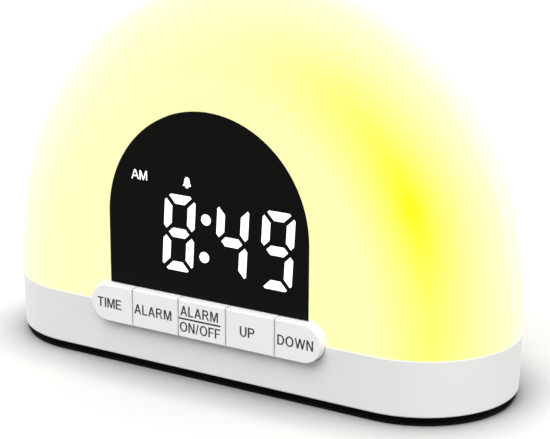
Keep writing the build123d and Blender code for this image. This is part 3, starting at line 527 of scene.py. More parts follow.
@dataclass(frozen=True)
class LitWindow(Coat):
    """A window with a light behind it, a little brighter in some places than in others."""

    colour: Colour = (1.0, 1.0, 1.0)
    strength: float = 1.0
    dull: Colour = (0.6, 0.6, 0.6)
    clear: Colour = (0.7, 0.7, 0.7)
    cloud: float = 0.004
    dim_share: float = 0.93
    roughness: Flat = (0.35, 0.45)
    gloss: float = 0.2

    def shader(self, graph: Graph) -> Wire:
        """Draws the window and its light.

        Args:
            graph: The material's graph.

        Returns:
            The shader.
        """
        cloud = graph.noise(self.cloud)
        return graph.surface(
            Base_Color=graph.mix(self.dull, self.clear, cloud),
            Roughness=graph.between(*self.roughness, cloud),
            Specular_IOR_Level=self.gloss,
            Emission_Color=graph.mix(shaded(self.colour, self.dim_share), self.colour, cloud),
            Emission_Strength=self.strength,
        )


@dataclass(frozen=True)
class Glow(Coat):
    """The frosted shade, lit from inside, with its glow painted on by place.

    Painted light: a glow colour runs from the flat faces (tilt 0) to the middle of the round rim (tilt 90
    degrees). It has a painted deep yellow ridge of light at the right, none over the top and a painted pale
    fall-off at the left, and a painted pale line of light at the shade's foot and round the keys. Each list
    holds tilts and how much blue is in the painted glow there, as it shows on a screen. depth_by_turn says
    how deep the ridge is at each turn in degrees, from upright to the right.
    """

    rim_radius: float = 30.0 * MM
    centre_z: float = 34.0 * MM
    foot_z: float = 19.5 * MM
    keys_centre_z: float = 20.2 * MM
    keys_radius: float = 5.9 * MM
    keys_half_run: float = 34.4 * MM
    leak: float = 0.6 * MM
    foot_fade: Flat = (1.0, 0.5)
    keys_fade: Flat = (1.7, 0.8)
    front_share: float = 0.9
    leak_colour: Colour = (1.0, 1.0, 0.83)
    ridge: Places = (
        (0, 184), (2, 178), (6, 168), (10, 154), (14, 140), (18, 124), (22, 104), (26, 78), (30, 44),
        (33, 30), (36, 42), (38, 60), (42, 86), (46, 107), (50, 125), (56, 147), (65, 172), (75, 190),
        (85, 208), (90, 226),
    )
    plain: Places = ((0, 187), (8, 186), (15, 178), (35, 178), (45, 183), (55, 188), (75, 200), (90, 212))
    pale: Places = ((0, 195), (8, 200), (15, 207), (25, 214), (35, 220), (50, 227), (90, 240))
    depth_by_turn: Places = (
        (5, 0.0), (15, 0.17), (25, 0.34), (34, 0.53), (42, 0.65), (50, 0.77), (58, 0.91), (66, 1.0),
        (74, 0.90), (82, 0.74), (90, 0.63), (98, 0.58),
    )
    widest_turn: float = 100.0
    left_from: float = 12.0
    left_full: float = -70.0
    still_half: float = 24.0 * MM
    still_rise: float = 4.0 * MM
    rear_power: float = 4.0
    own_share: float = 0.2
    light_share: float = 0.84
    darkest: float = 0.006
    grain: float = 0.0003
    grain_depth: float = 0.000008
    roughness: Flat = (0.55, 0.63)
    gloss: float = 0.1

    def _tints(self, graph: Graph, tilt: Wire, row: Places) -> Wire:
        """The painted glow colour along one of the three lists."""
        blues = [(angle, max(0.0, from_screen(blue) - self.darkest)) for angle, blue in row]
        return graph.ramp(tilt / (math.pi / 2), [(angle / 90.0, (1.0, 1.0, blue)) for angle, blue in blues])

    def _leaks(self, graph: Graph, x: Wire, y: Wire, z: Wire) -> Wire:
        """Where light comes out between shade and base.

        Args:
            graph: The material's graph.
            x: The place along the width.
            y: The place along the depth.
            z: The place along the height.

        Returns:
            1 at the shade's foot and round the keys, else 0.
        """
        foot = graph.remap(z, *(self.foot_z + share * self.leak for share in self.foot_fade))
        run = graph.most(abs(x) - self.keys_half_run, 0.0)
        away = (run**2 + (z - self.keys_centre_z) ** 2) ** 0.5 - self.keys_radius
        keys = graph.remap(away, *(share * self.leak for share in self.keys_fade))
        return graph.most(foot, keys * (y < -self.front_share * self.rim_radius))

    def shader(self, graph: Graph) -> Wire:
        """Draws the glow.

        Args:
            graph: The material's graph.

        Returns:
            The shader.
        """
        x, y, z = graph.axes()
        rear = graph.most(y / self.rim_radius, 0.0) ** self.rear_power
        lean = graph.maths("MINIMUM", graph.most(y / -self.rim_radius, rear), 1.0)
        tilt = graph.maths("ARCCOSINE", lean)
        turn = graph.maths("ARCTAN2", x, z - self.centre_z)
        depths = [(angle / self.widest_turn, (depth,) * 3) for angle, depth in self.depth_by_turn]
        deep = graph.ramp(turn / math.radians(self.widest_turn), depths)
        left = graph.remap(turn, math.radians(self.left_from), math.radians(self.left_full))
        aside = graph.remap(abs(x), 0.0, self.still_half)
        above = graph.remap(z, self.centre_z + self.still_rise, self.centre_z + self.still_half)
        apart = graph.most(aside, above)
        # Painted light: the glow colour is set by place, from plain to the painted yellow ridge at the right
        # and the painted pale fall-off at the left.
        plain, ridge, pale = (self._tints(graph, tilt, row) for row in (self.plain, self.ridge, self.pale))
        painted_glow = graph.mix(graph.mix(plain, ridge, deep * apart), pale, left * apart)
        # Painted light: a pale line of light at the shade's foot and round the keys.
        painted_glow = graph.mix(painted_glow, self.leak_colour, self._leaks(graph, x, y, z))
        grain = graph.noise(self.grain)
        # The painted glow feeds both the base colour and the emission.
        return graph.surface(
            Base_Color=graph.mix(BLACK, painted_glow, self.own_share),
            Roughness=graph.between(*self.roughness, grain),
            Specular_IOR_Level=self.gloss,
            Emission_Color=graph.mix(BLACK, painted_glow, self.light_share),
            Emission_Strength=1.0,
            Normal=graph.bump(grain, self.grain_depth),
        )


class Finish(Enum):
    """Every finish of the clock. All but the last are the record's material slots."""

    frosted_shade = Glow()
    white_plastic = Plastic((0.86, 0.86, 0.855), 0.5, 0.015)
    key_plastic = Plastic((0.93, 0.93, 0.925), 0.42, 0.01)
    black_plastic = Plastic((0.0015, 0.0015, 0.0015), 0.6, 0.2, gloss=0.02)
    panel_black = Plastic((0.0045, 0.0045, 0.004), 0.35, 0.05, gloss=0.03)
    segment_lit = LitWindow()
    segment_unlit = Plastic((0.0045, 0.0045, 0.0041), 0.35, 0.05, gloss=0.03)
    board_green = Board((0.012, 0.12, 0.04), (0.03, 0.2, 0.07))
    board_white = Board((0.80, 0.80, 0.79), (0.88, 0.88, 0.87))
    component_black = Plastic((0.02, 0.02, 0.021), 0.5, 0.15)
    connector_ivory = Plastic((0.72, 0.66, 0.5), 0.45)
    led_phosphor = LitWindow((1.0, 0.82, 0.25), 1.5)
    can_aluminium = Metal((0.78, 0.79, 0.8), 0.25)
    steel = Metal((0.62, 0.62, 0.63), 0.28)
    black_screw = Metal((0.06, 0.06, 0.065), 0.4)
    silicone = Plastic((0.62, 0.63, 0.63), 0.6, 0.04)
    sole_rubber = Rubber((0.0015, 0.0015, 0.0015))
    cone_paper = Plastic((0.03, 0.03, 0.03), 0.8, 0.3, 0.0008, 0.00004)
    magnet_ferrite = Plastic((0.05, 0.05, 0.055), 0.6, 0.2, 0.0006, 0.00002)
    ribbon_white = Ribbon((0.78, 0.79, 0.82), (0.55, 0.56, 0.6))
    wire_red = WirePair((0.5, 0.02, 0.015), (0.012, 0.012, 0.012))
    contact_gold = Metal((0.83, 0.62, 0.28), 0.25)


class Way(Enum):
    """Which way a local Z axis points."""

    UP = Matrix.Identity(4)
    DOWN = Matrix.Rotation(math.pi, 4, "X")
    FRONT = Matrix.Rotation(math.pi / 2, 4, "X")
    BACK = Matrix.Rotation(-math.pi / 2, 4, "X")

    def at(self, x: float, y: float, z: float) -> Matrix:
        """This way, from a point."""
        return Matrix.Translation((x, y, z)) @ self.value


def turned(quarters: int) -> Matrix:
    """A number of quarter turns about Z."""
    return Matrix.Rotation(quarters * math.pi / 2, 4, "Z")


def arc(centre: Flat, radii: Flat, start: float, end: float, steps: int = 12) -> Outline:
    """Points along part of an ellipse, from one angle to another in degrees, with both ends."""
    angles = [math.radians(start + (end - start) * step / steps) for step in range(steps + 1)]
    return [(centre[0] + radii[0] * math.cos(a), centre[1] + radii[1] * math.sin(a)) for a in angles]


def circle(radius: float, steps: int, centre: Flat = (0.0, 0.0)) -> Outline:
    """Points round a circle."""
    return arc(centre, (radius, radius), 0, 360, steps)[:-1]


def rectangle(low: Flat, high: Flat) -> Outline:
    """The four corners of a rectangle."""
    return [low, (high[0], low[1]), high, (low[0], high[1])]


def moved(points: Iterable[Flat], across: float, up: float) -> Outline:
    """An outline in another place."""
    return [(across + x, up + z) for x, z in points]


def evenly(count: int, pitch: float) -> list[float]:
    """Places a pitch apart, about 0."""
    return [(number - (count - 1) / 2) * pitch for number in range(count)]


def both_sides(near: float, far: float) -> list[Flat]:
    """The run from near to far and its mirror image about 0."""
    return [(-far, -near), (near, far)]


@dataclass(frozen=True)
class Block:
    """A block of a piece: two opposite corners, how much its edges are cut off, and its finish's number."""

    low: Point
    high: Point
    bevel: float
    finish: int = 0


class Shape:
    """Corners in millimetres and faces, gathered for one piece. Each face has the number of its finish."""

    smooth_angle: float = math.radians(32)
    weld: float = 0.0001 * MM
    rings_a_turn: int = 4
    tip_share: float = 0.25
    taper_share: float = 1.2

    def __init__(self) -> None:
        """Starts empty."""
        self.corners: list[Vector] = []
        self.faces: list[list[int]] = []
        self.finishes: list[int] = []

    def add(self, corners: Iterable[Point], faces: Iterable[Sequence[int]], place: Matrix, finish: int) -> None:
        """Adds corners and faces.

        Args:
            corners: The corners, in the place's own axes.
            faces: The faces, as numbers of those corners.
            place: Where the axes are.
            finish: The number of the faces' finish.
        """
        start = len(self.corners)
        self.corners += [place @ Vector(corner) for corner in corners]
        new = [[start + number for number in face] for face in faces]
        self.faces += new
        self.finishes += [finish] * len(new)

    def prism(
        self, outlines: Sequence[Sequence[Flat]], low: float, high: float, place: Matrix, finish: int = 0
    ) -> None:
        """Adds a flat shape, drawn out along its own Z.

        Args:
            outlines: The outer line, and the line of each hole.
            low: The height of its underside.
            high: The height of its top.
            place: Where its axes are.
            finish: The number of its finish.
        """
        rings = [[Vector((x, y, 0.0)) for x, y in outline] for outline in outlines]
        flat = [point for ring in rings for point in ring]
        count = len(flat)
        caps = [list(triangle) for triangle in tessellate_polygon(rings)]
        faces = caps + [[number + count for number in triangle] for triangle in caps]
        start = 0
        for ring in rings:
            size = len(ring)
            for step in range(size):
                here, there = start + step, start + (step + 1) % size
                faces.append([here, there, there + count, here + count])
            start += size
        corners = [(point.x, point.y, height) for height in (low, high) for point in flat]
        self.add(corners, faces, place, finish)

    def blocks(self, blocks: Iterable[Block], place: Matrix) -> None:
        """Adds several blocks."""
        for block in blocks:
            self.block(block.low, block.high, block.bevel, place, block.finish)

    def block(self, low: Point, high: Point, bevel: float, place: Matrix, finish: int = 0) -> None:
        """Adds a block with all its edges cut off.

        Args:
            low: Its lowest corner.
            high: Its highest corner.
            bevel: How much is cut off each edge.
            place: Where its axes are.
            finish: The number of its finish.
        """
        signs = [(i, j, k) for i in (0, 1) for j in (0, 1) for k in (0, 1)]
        ends, inwards = (low, high), (bevel, -bevel)
        corners = [
            tuple(ends[side][axis] + (axis != full) * inwards[side] for axis, side in enumerate(sign))
            for sign in signs
            for full in range(3)
        ]
        number = {sign: 3 * n for n, sign in enumerate(signs)}
        faces = [[3 * n, 3 * n + 1, 3 * n + 2] for n in range(8)]
        for axis in range(3):
            first, second = (other for other in range(3) if other != axis)
            for side in (0, 1):
                ring = [s for s in signs if s[axis] == side]
                faces.append([number[ring[n]] + axis for n in (0, 1, 3, 2)])
            for sign in (s for s in signs if s[axis] == 0):
                here, there = number[sign], number[tuple(1 if n == axis else s for n, s in enumerate(sign))]
                faces.append([here + first, here + second, there + second, there + first])
        self.add(corners, faces, place, finish)

    def skin(
        self, rings: Sequence[Sequence[Point]], place: Matrix, others: Sequence[int] = (), closed: bool = False
    ) -> None:
        """Adds the bands between rings of corners.

        Args:
            rings: The corners of each ring. A ring may be a single point.
            place: Where their axes are.
            others: The bands, counted from 0, that have finish 1. The rest have finish 0.
            closed: Whether the first and the last ring are closed by a face.
        """
        sides, numbers, corners = max(map(len, rings)), [], []
        for ring in rings:
            numbers.append([len(corners) + side % len(ring) for side in range(sides)])
            corners += ring
        ends = [numbers[0], numbers[-1]] if closed else []
        self.add(corners, ends, place, 0)
        start = len(self.corners) - len(corners)
        for band, (lower, upper) in enumerate(zip(numbers, numbers[1:])):
            for side in range(sides):
                after = (side + 1) % sides
                face = list(dict.fromkeys([lower[side], lower[after], upper[after], upper[side]]))
                if len(face) > 2:
                    self.faces.append([start + number for number in face])
                    self.finishes.append(int(band in others))

    def lathe(self, profile: Sequence[Flat], sides: int, place: Matrix, others: Sequence[int] = ()) -> None:
        """Adds a shape that is turned about its own Z.

        Args:
            profile: The radius and height of each ring. A radius of 0 is a single point.
            sides: How many corners a ring has.
            place: Where its axes are.
            others: The bands between two rings, counted from 0, that have finish 1.
        """
        rings = []
        for radius, height in profile:
            rings.append([(*point, height) for point in circle(radius, sides if radius else 1)])
        self.skin(rings, place, others)

    def thread(
        self, crest: float, root: float, pitch: float, length: float, sides: int, place: Matrix
    ) -> None:
        """Adds a screw's threaded shaft, with a pointed end.

        Args:
            crest: The radius over the thread.
            root: The radius between its turns.
            pitch: The distance from turn to turn.
            length: The shaft's length.
            sides: How many corners a ring has.
            place: Where its axes are: it runs along its own Z from 0.
        """
        count = max(2, round(self.rings_a_turn * length / pitch))
        rings = []
        for number in range(count + 1):
            height = length * number / count
            tapered = (length - height) / (self.taper_share * crest)
            narrow = min(1.0, self.tip_share + (1 - self.tip_share) * tapered)
            cut = crest - root if 0 < number < count else 0.0
            phases = [(height / pitch - side / sides) % 1.0 for side in range(sides)]
            radii = [narrow * (root + cut * (1.0 - abs(2 * phase - 1))) for phase in phases]
            rings.append([(r * x, r * y, height) for r, (x, y) in zip(radii, circle(1.0, sides))])
        self.skin(rings, place, closed=True)

    def mesh(self, name: str, materials: Sequence[bpy.types.Material]) -> bpy.types.Mesh:
        """Makes the mesh.

        Args:
            name: Its name.
            materials: Its finishes, in the order of their numbers.

        Returns:
            A mesh in metres, with its normals outwards and its flat edges sharp.
        """
        mesh = bpy.data.meshes.new(name)
        mesh.from_pydata([corner * MM for corner in self.corners], [], self.faces)
        mesh.polygons.foreach_set("material_index", self.finishes)
        work = bmesh.new()
        work.from_mesh(mesh)
        bmesh.ops.remove_doubles(work, verts=work.verts, dist=self.weld)
        bmesh.ops.recalc_face_normals(work, faces=work.faces)
        work.to_mesh(mesh)
        work.free()
        mesh.shade_smooth()
        mesh.set_sharp_from_angle(angle=self.smooth_angle)
        for material in materials:
            mesh.materials.append(material)
        return mesh


def added(name: str, data: bpy.types.ID) -> bpy.types.Object:
    """Adds an object to the scene.

    Args:
        name: Its name.
        data: Its mesh, lamp or camera.

    Returns:
        The new object.
    """
    thing = bpy.data.objects.new(name, data)
    bpy.context.scene.collection.objects.link(thing)
    return thing


def aim(thing: bpy.types.Object, towards: Vector) -> None:
    """Turns a lamp or a camera, which look along their own -Z."""
    thing.rotation_mode = "QUATERNION"
    thing.rotation_quaternion = towards.to_track_quat("-Z", "Y")


class Workshop:
    """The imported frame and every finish, with which the sub-assemblies are made."""

    def __init__(self, frame: dict[str, Any]) -> None:
        """Makes the finishes.

        Args:
            frame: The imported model, as it was loaded.
        """
        self.nodes: dict[str, bpy.types.Object] = frame["nodes"]
        rows = frame["record"]["subparts"]
        self.slots: dict[str, str] = {row["node"]: row["material_slot"] for row in rows}
        self.materials = {finish: finish.value.material(finish.name) for finish in Finish}

    def dress(self, *nodes: str) -> None:
        """Gives CAD nodes the finishes of their slots.

        Args:
            *nodes: The nodes' names.
        """
        for node in nodes:
            data = self.nodes[node].data
            data.materials.clear()
            data.materials.append(self.materials[Finish[self.slots[node]]])
            LOG.info("dressed %s", node)

    def make(
        self, name: str, shape: Shape, finishes: Sequence[Finish], body: str = "clock", stands_for: str = ""
    ) -> bpy.types.Object:
        """Makes one piece.

        Args:
            name: The piece's name.
            shape: Its corners and faces.
            finishes: Its finishes, by number.
            body: The body it rides on.
            stands_for: The CAD node that it replaces, if there is one.

        Returns:
            The new piece.
        """
        piece = added(name, shape.mesh(name, [self.materials[finish] for finish in finishes]))
        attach(piece, body)
        if stands_for:
            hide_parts(stands_for)
        LOG.info("made %s", name)
        return piece


@dataclass
class Assembly:
    """A part of the clock, which the workshop makes."""

    shop: Workshop

    def build(self) -> None:
        """Makes and dresses its pieces. Each kind of assembly has its own."""
        raise NotImplementedError


@dataclass
class Case(Assembly):
    """Shade, base, underside and the inner parts that are plain mouldings."""

    outer: tuple[str, ...] = ("shade", "base_housing", "bottom_cover", "sole")
    inner: tuple[str, ...] = ("light_deck", "display_shroud", "key_guide", "key_mat")

    def build(self) -> None:
        """Dresses the mouldings."""
        self.shop.dress(*self.outer, *self.inner)


@dataclass
class ScrewGroup(Assembly):
    """Screws of one size that stand for one node: pan heads with a cross recess, and rolled threads.

    pairs holds how far out along X each pair of screws is, and its places across that: along Y, or along Z
    for screws that point to the front. seat is where the heads' undersides are, along the screws.
    """

    node: str
    way: Way
    pairs: Pairs
    seat: float
    length: float
    finish: Finish = Finish.steel
    crest: float = 0.8
    head_radius: float = 1.6
    head_height: float = 0.8
    sides: int = 20
    root_share: float = 0.76
    pitch_share: float = 0.6
    flat_share: float = 0.62
    arm_share: float = 0.5
    arm_width_share: float = 0.13
    floor_shares: Flat = (0.72, 0.8)
    recess_share: float = 0.6
    head_profile: Places = (
        (0.0, 0.0), (0.97, 0.0), (1.0, 0.12), (1.0, 0.42), (0.94, 0.68), (0.82, 0.88),
    )

    def _seats(self) -> list[Point]:
        """The middles of the heads' undersides."""
        flat = [(side * x, other) for x, others in self.pairs for side in SIDES for other in others]
        return [(x, self.seat, z) if self.way is Way.FRONT else (x, z, self.seat) for x, z in flat]

    @staticmethod
    def _cross(long: float, wide: float) -> Outline:
        """The outline of a cross, from the half length and half width of its arms."""
        arm = [Vector((long, -wide)), Vector((long, wide)), Vector((wide, wide))]
        return [tuple(turned(n).to_2x2() @ point) for n in range(4) for point in arm]

    def _head(self, shape: Shape, place: Matrix) -> None:
        """Adds one head, which lies below the place's own Z of 0.

        Args:
            shape: What it is added to.
            place: Where its axes are.
        """
        radius, height = self.head_radius, self.head_height
        top = radius * self.flat_share
        rings = [(radius * out, -height * down) for out, down in self.head_profile]
        shape.lathe([*rings, (top, -height)], self.sides, place)
        rim = circle(top, self.sides)
        long, wide = radius * self.arm_share, radius * self.arm_width_share
        cross = self._cross(long, wide)
        floor = self._cross(self.floor_shares[0] * long, self.floor_shares[1] * wide)
        count = len(cross)
        flat = tessellate_polygon([[Vector((*point, 0.0)) for point in line] for line in (rim, cross)])
        shape.add([(*point, -height) for point in rim + cross], flat, place, 0)
        deep = -height * (1 - self.recess_share)
        corners = [(*point, -height) for point in cross] + [(*point, deep) for point in floor]
        walls = [[n, (n + 1) % count, (n + 1) % count + count, n + count] for n in range(count)]
        shape.add(corners, [*walls, list(range(count, 2 * count))], place, 0)

    def build(self) -> None:
        """Makes the whole group as one piece."""
        shape = Shape()
        root, pitch = self.crest * self.root_share, self.crest * self.pitch_share
        for seat in self._seats():
            place = self.way.at(*seat)
            self._head(shape, place)
            shape.thread(self.crest, root, pitch, self.length, self.sides, place)
        self.shop.make(f"{self.node}_threaded", shape, [self.finish], stands_for=self.node)


@dataclass
class Screws(Assembly):
    """All the screws of the clock. Each row of small_groups is a group's node, way, pairs, seat and length."""

    posts: Pairs = ((46.9, (-22.5, 22.5)), (77.5, (0.0,)))
    case_seat: float = 2.4
    case_length: float = 8.4
    small_groups: tuple[tuple[str, Way, Pairs, float, float], ...] = (
        ("deck_screws", Way.DOWN, posts, 17.4, 4.6),
        ("lamp_board_screws", Way.DOWN, ((56.0, (-6.0, 6.0)),), 19.0, 3.2),
        ("main_board_screws", Way.DOWN, ((27.0, (-10.0, 22.0)),), 7.8, 4.2),
        ("key_board_screws", Way.FRONT, ((24.975, (14.5, 25.9)),), -17.8, 5.4),
        ("display_screws", Way.FRONT, ((14.0, (71.6,)),), -13.0, 10.8),
    )

    def build(self) -> None:
        """Makes all the groups."""
        case = ("case_screws", Way.UP, self.posts, self.case_seat, self.case_length, Finish.black_screw)
        ScrewGroup(self.shop, *case, crest=1.3, head_radius=2.6, head_height=1.1, sides=24).build()
        for row in self.small_groups:
            ScrewGroup(self.shop, *row).build()


@dataclass(frozen=True)
class Lettering:
    """Plain upright capitals. Their outlines are in units of the letters' height."""

    stem: float = 0.19
    bar: float = 0.14
    gap: float = 0.13
    ring_steps: int = 32

    @staticmethod
    def _mirrored(width: float, half: Outline) -> Outline:
        """A letter's whole outline, from its left half."""
        return half + [(width - x, z) for x, z in reversed(half) if x < width / 2]

    def _round(self, sign: str) -> tuple[float, list[Outline]]:
        """A letter that has curves.

        Args:
            sign: The letter.

        Returns:
            Its width and outlines.
        """
        stem, bar, top = self.stem, self.bar, 1 - self.bar
        if sign == "O":
            radii = (0.49, 0.515), (0.49 - stem, 0.515 - bar)
            return 0.98, [arc((0.49, 0.5), pair, 0, 360, self.ring_steps)[:-1] for pair in radii]
        if sign == "U":
            middle, outer, inner = (0.4, 0.38), (0.4, 0.395), (0.4 - stem, 0.28)
            bowl = arc(middle, outer, 180, 360) + [(0.8, 1), (0.8 - stem, 1)]
            return 0.8, [[(0, 1), *bowl, *arc(middle, inner, 360, 180), (stem, 1)]]
        if sign == "D":
            middle = (0.36, 0.5)
            hole = [(stem, bar), (stem, top), *arc(middle, (0.48 - stem, 0.5 - bar), 90, -90)]
            return 0.84, [[(0, 0), (0, 1), *arc(middle, (0.48, 0.5), 90, -90)], hole]
        foot, width, end = {"P": (0.42, 0.77, -90), "R": (0.45, 0.86, -72)}[sign]
        radius = (1 - foot) / 2
        middle, inner = (0.48, foot + radius), (radius - 0.17, radius - bar)
        leg = [(0.86, 0), (0.65, 0), (0.4, foot)] if sign == "R" else []
        outer = [(0, 0), (0, 1), *arc(middle, (radius, radius), 90, end), *leg, (stem, foot), (stem, 0)]
        return width, [outer, [(stem, foot + bar), (stem, top), *arc(middle, inner, 90, -90)]]

    def outlines(self, sign: str) -> tuple[float, list[Outline]]:
        """A letter's width and outlines.

        Args:
            sign: The letter, or a slash.

        Returns:
            Its width, and its outer line with the lines of its holes.
        """
        stem, bar, top = self.stem, self.bar, 1 - self.bar
        post, fillet = 0.4 - stem / 2, 0.004
        inner = stem + fillet
        straight: dict[str, tuple[float, Outline]] = {
            "E": (0.72, [(0, 0), (0, 1), (0.7, 1), (0.7, top), (stem, top), (inner, 0.575), (0.64, 0.575),
                         (0.64, 0.44), (inner, 0.44), (stem, bar), (0.72, bar), (0.72, 0)]),
            "F": (0.68, [(0, 0), (0, 1), (0.68, 1), (0.68, top), (stem, top), (stem, 0.55), (0.62, 0.55),
                         (0.62, 0.435), (stem, 0.435), (stem, 0)]),
            "I": (stem, rectangle((0, 0), (stem, 1))),
            "L": (0.64, [(0, 0), (0, 1), (stem, 1), (stem, bar), (0.64, bar), (0.64, 0)]),
            "N": (0.8, [(0, 0), (0, 1), (0.2, 1), (0.62, 0.3), (0.62, 1), (0.8, 1), (0.8, 0), (0.6, 0),
                        (0.18, 0.7), (0.18, 0)]),
            "/": (0.4, [(0, 0), (0.25, 1), (0.4, 1), (0.15, 0)]),
        }
        halves: dict[str, tuple[float, Outline]] = {
            "A": (0.88, [(0.27, 0.25), (0.19, 0), (0, 0), (0.345, 1)]),
            "M": (0.98, [(0.41, 0), (0.18, 0.69), (0.18, 0), (0, 0), (0, 1), (0.25, 1), (0.49, 0.28)]),
            "T": (0.8, [(post, 0), (post, top - fillet), (0, top), (0, 1)]),
            "W": (1.26, [(0.63, 0.67), (0.43, 0), (0.26, 0), (0, 1), (0.17, 1), (0.345, 0.33), (0.545, 1)]),
        }
        if sign in straight:
            return straight[sign][0], [straight[sign][1]]
        if sign in halves:
            hole = [[(0.32, 0.38), (0.56, 0.38), (0.44, 0.73)]] if sign == "A" else []
            return halves[sign][0], [self._mirrored(*halves[sign]), *hole]
        return self._round(sign)

    def word(self, word: Word, height: float) -> list[list[Outline]]:
        """A word's outlines.

        Args:
            word: What it says and where it stands.
            height: The letters' height.

        Returns:
            The outlines of each letter.
        """
        letters = [self.outlines(sign) for sign in word.text]
        natural = sum(width for width, _ in letters) + self.gap * (len(letters) - 1)
        scale = (word.right - word.left) / natural
        rows, start = [], 0.0
        for width, lines in letters:
            left = word.left + start * scale
            rows.append([[(left + x * scale, word.base + z * height) for x, z in line] for line in lines])
            start += width + self.gap
        return rows


@dataclass(frozen=True)
class Word:
    """One printed word: its letters, where it starts and ends along X, and the height that it stands at."""

    text: str
    left: float
    right: float
    base: float


@dataclass
class Keys(Assembly):
    """The five keys with their words, and the domes, board and ribbon behind them."""

    face_y: float = -32.8
    letter_height: float = 3.1
    print_above: float = 0.02
    legends: tuple[tuple[str, tuple[Word, ...]], ...] = (
        ("time", (Word("TIME", -37.9, -29.0, 18.65),)),
        ("alarm", (Word("ALARM", -24.16, -10.6, 18.65),)),
        ("alarm_on_off", (Word("ALARM", -7.4, 5.9, 21.15), Word("ON/OFF", -7.6, 6.6, 16.15))),
        ("up", (Word("UP", 13.4, 18.4, 18.6),)),
        ("down", (Word("DOWN", 26.1, 37.9, 18.55),)),
    )
    bar_key: str = "alarm_on_off"
    bar_low: Flat = (-7.95, 19.97)
    bar_high: Flat = (6.75, 20.5)
    pitch: float = 16.65
    centre_z: float = 20.2
    dome_seat_y: float = -20.4
    dome_profile: Places = (
        (0.0, 2.4), (1.9, 2.4), (2.2, 2.28), (2.75, 1.75), (3.35, 0.95), (3.8, 0.4), (4.2, 0.16), (4.2, 0.0),
        (3.75, 0.0), (3.3, 0.35), (2.85, 0.85), (2.3, 1.5), (1.75, 1.9), (1.4, 1.9), (1.4, 0.1), (1.3, 0.0),
        (0.0, 0.0),
    )
    dome_sides: int = 40
    dome_keep: float = 0.612
    part_places: Places = (
        (-34.0, 22.6), (-30.0, 18.4), (8.2, 23.6), (12.2, 17.4), (32.0, 24.0), (35.6, 20.0),
    )
    board_back_y: float = -17.8

    def _print(self, key: str, words: tuple[Word, ...]) -> None:
        """Prints one key's words.

        Args:
            key: The key's name.
            words: What it says.
        """
        lettering = Lettering()
        signs = [letter for word in words for letter in lettering.word(word, self.letter_height)]
        if key == self.bar_key:
            signs.append([rectangle(self.bar_low, self.bar_high)])
        shape = Shape()
        for outlines in signs:
            shape.prism(outlines, -self.print_above, self.print_above, Way.FRONT.at(0.0, self.face_y, 0.0))
        self.shop.make(f"legend_{key}", shape, [Finish.component_black], f"key_{key}")

    def _dome(self, key: str, x: float) -> None:
        """Makes one silicone dome, as it stands before its key presses it flat.

        Args:
            key: The key's name.
            x: Its place along the width.
        """
        seat = (x, self.dome_seat_y, self.centre_z)
        shape = Shape()
        shape.lathe(self.dome_profile, self.dome_sides, Way.FRONT.at(*seat))
        dome = self.shop.make(f"dome_{key}", shape, [Finish.silicone], stands_for=f"key_dome_{key}")
        anchor = tuple(number * MM for number in seat)
        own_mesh(dome)

    def build(self) -> None:
        """Makes and dresses everything of the keys."""
        for x, (key, words) in zip(evenly(len(self.legends), self.pitch), self.legends):
            self.shop.dress(f"keycap_{key}")
            self._print(key, words)
            self._dome(key, x)
        self.shop.dress("key_board", "key_ribbon")
        places = [Way.BACK.at(x, self.board_back_y, z) for x, z in self.part_places]
        SmallParts(self.shop, "key_board_parts", places).build()


@dataclass
class SmallParts(Assembly):
    """Small resistors and capacitors on a board: a body between two tinned ends."""

    name: str
    places: Sequence[Matrix]
    length: float = 2.0
    width: float = 1.2
    height: float = 0.55
    end: float = 0.4
    slack: float = 0.02
    body_bevel: float = 0.03
    end_bevel: float = 0.05

    def build(self) -> None:
        """Makes them as one piece."""
        shape = Shape()
        half, side = self.length / 2, self.width / 2
        near, top = half - self.end, self.height - 2 * self.slack
        for number, place in enumerate(self.places):
            shape.block((-near, -side, self.slack), (near, side, top), self.body_bevel, place, 1 + number % 2)
            for start, stop in both_sides(near, half):
                shape.block((start, -side, 0.0), (stop, side, self.height), self.end_bevel, place)
        self.shop.make(self.name, shape, [Finish.steel, Finish.component_black, Finish.connector_ivory])


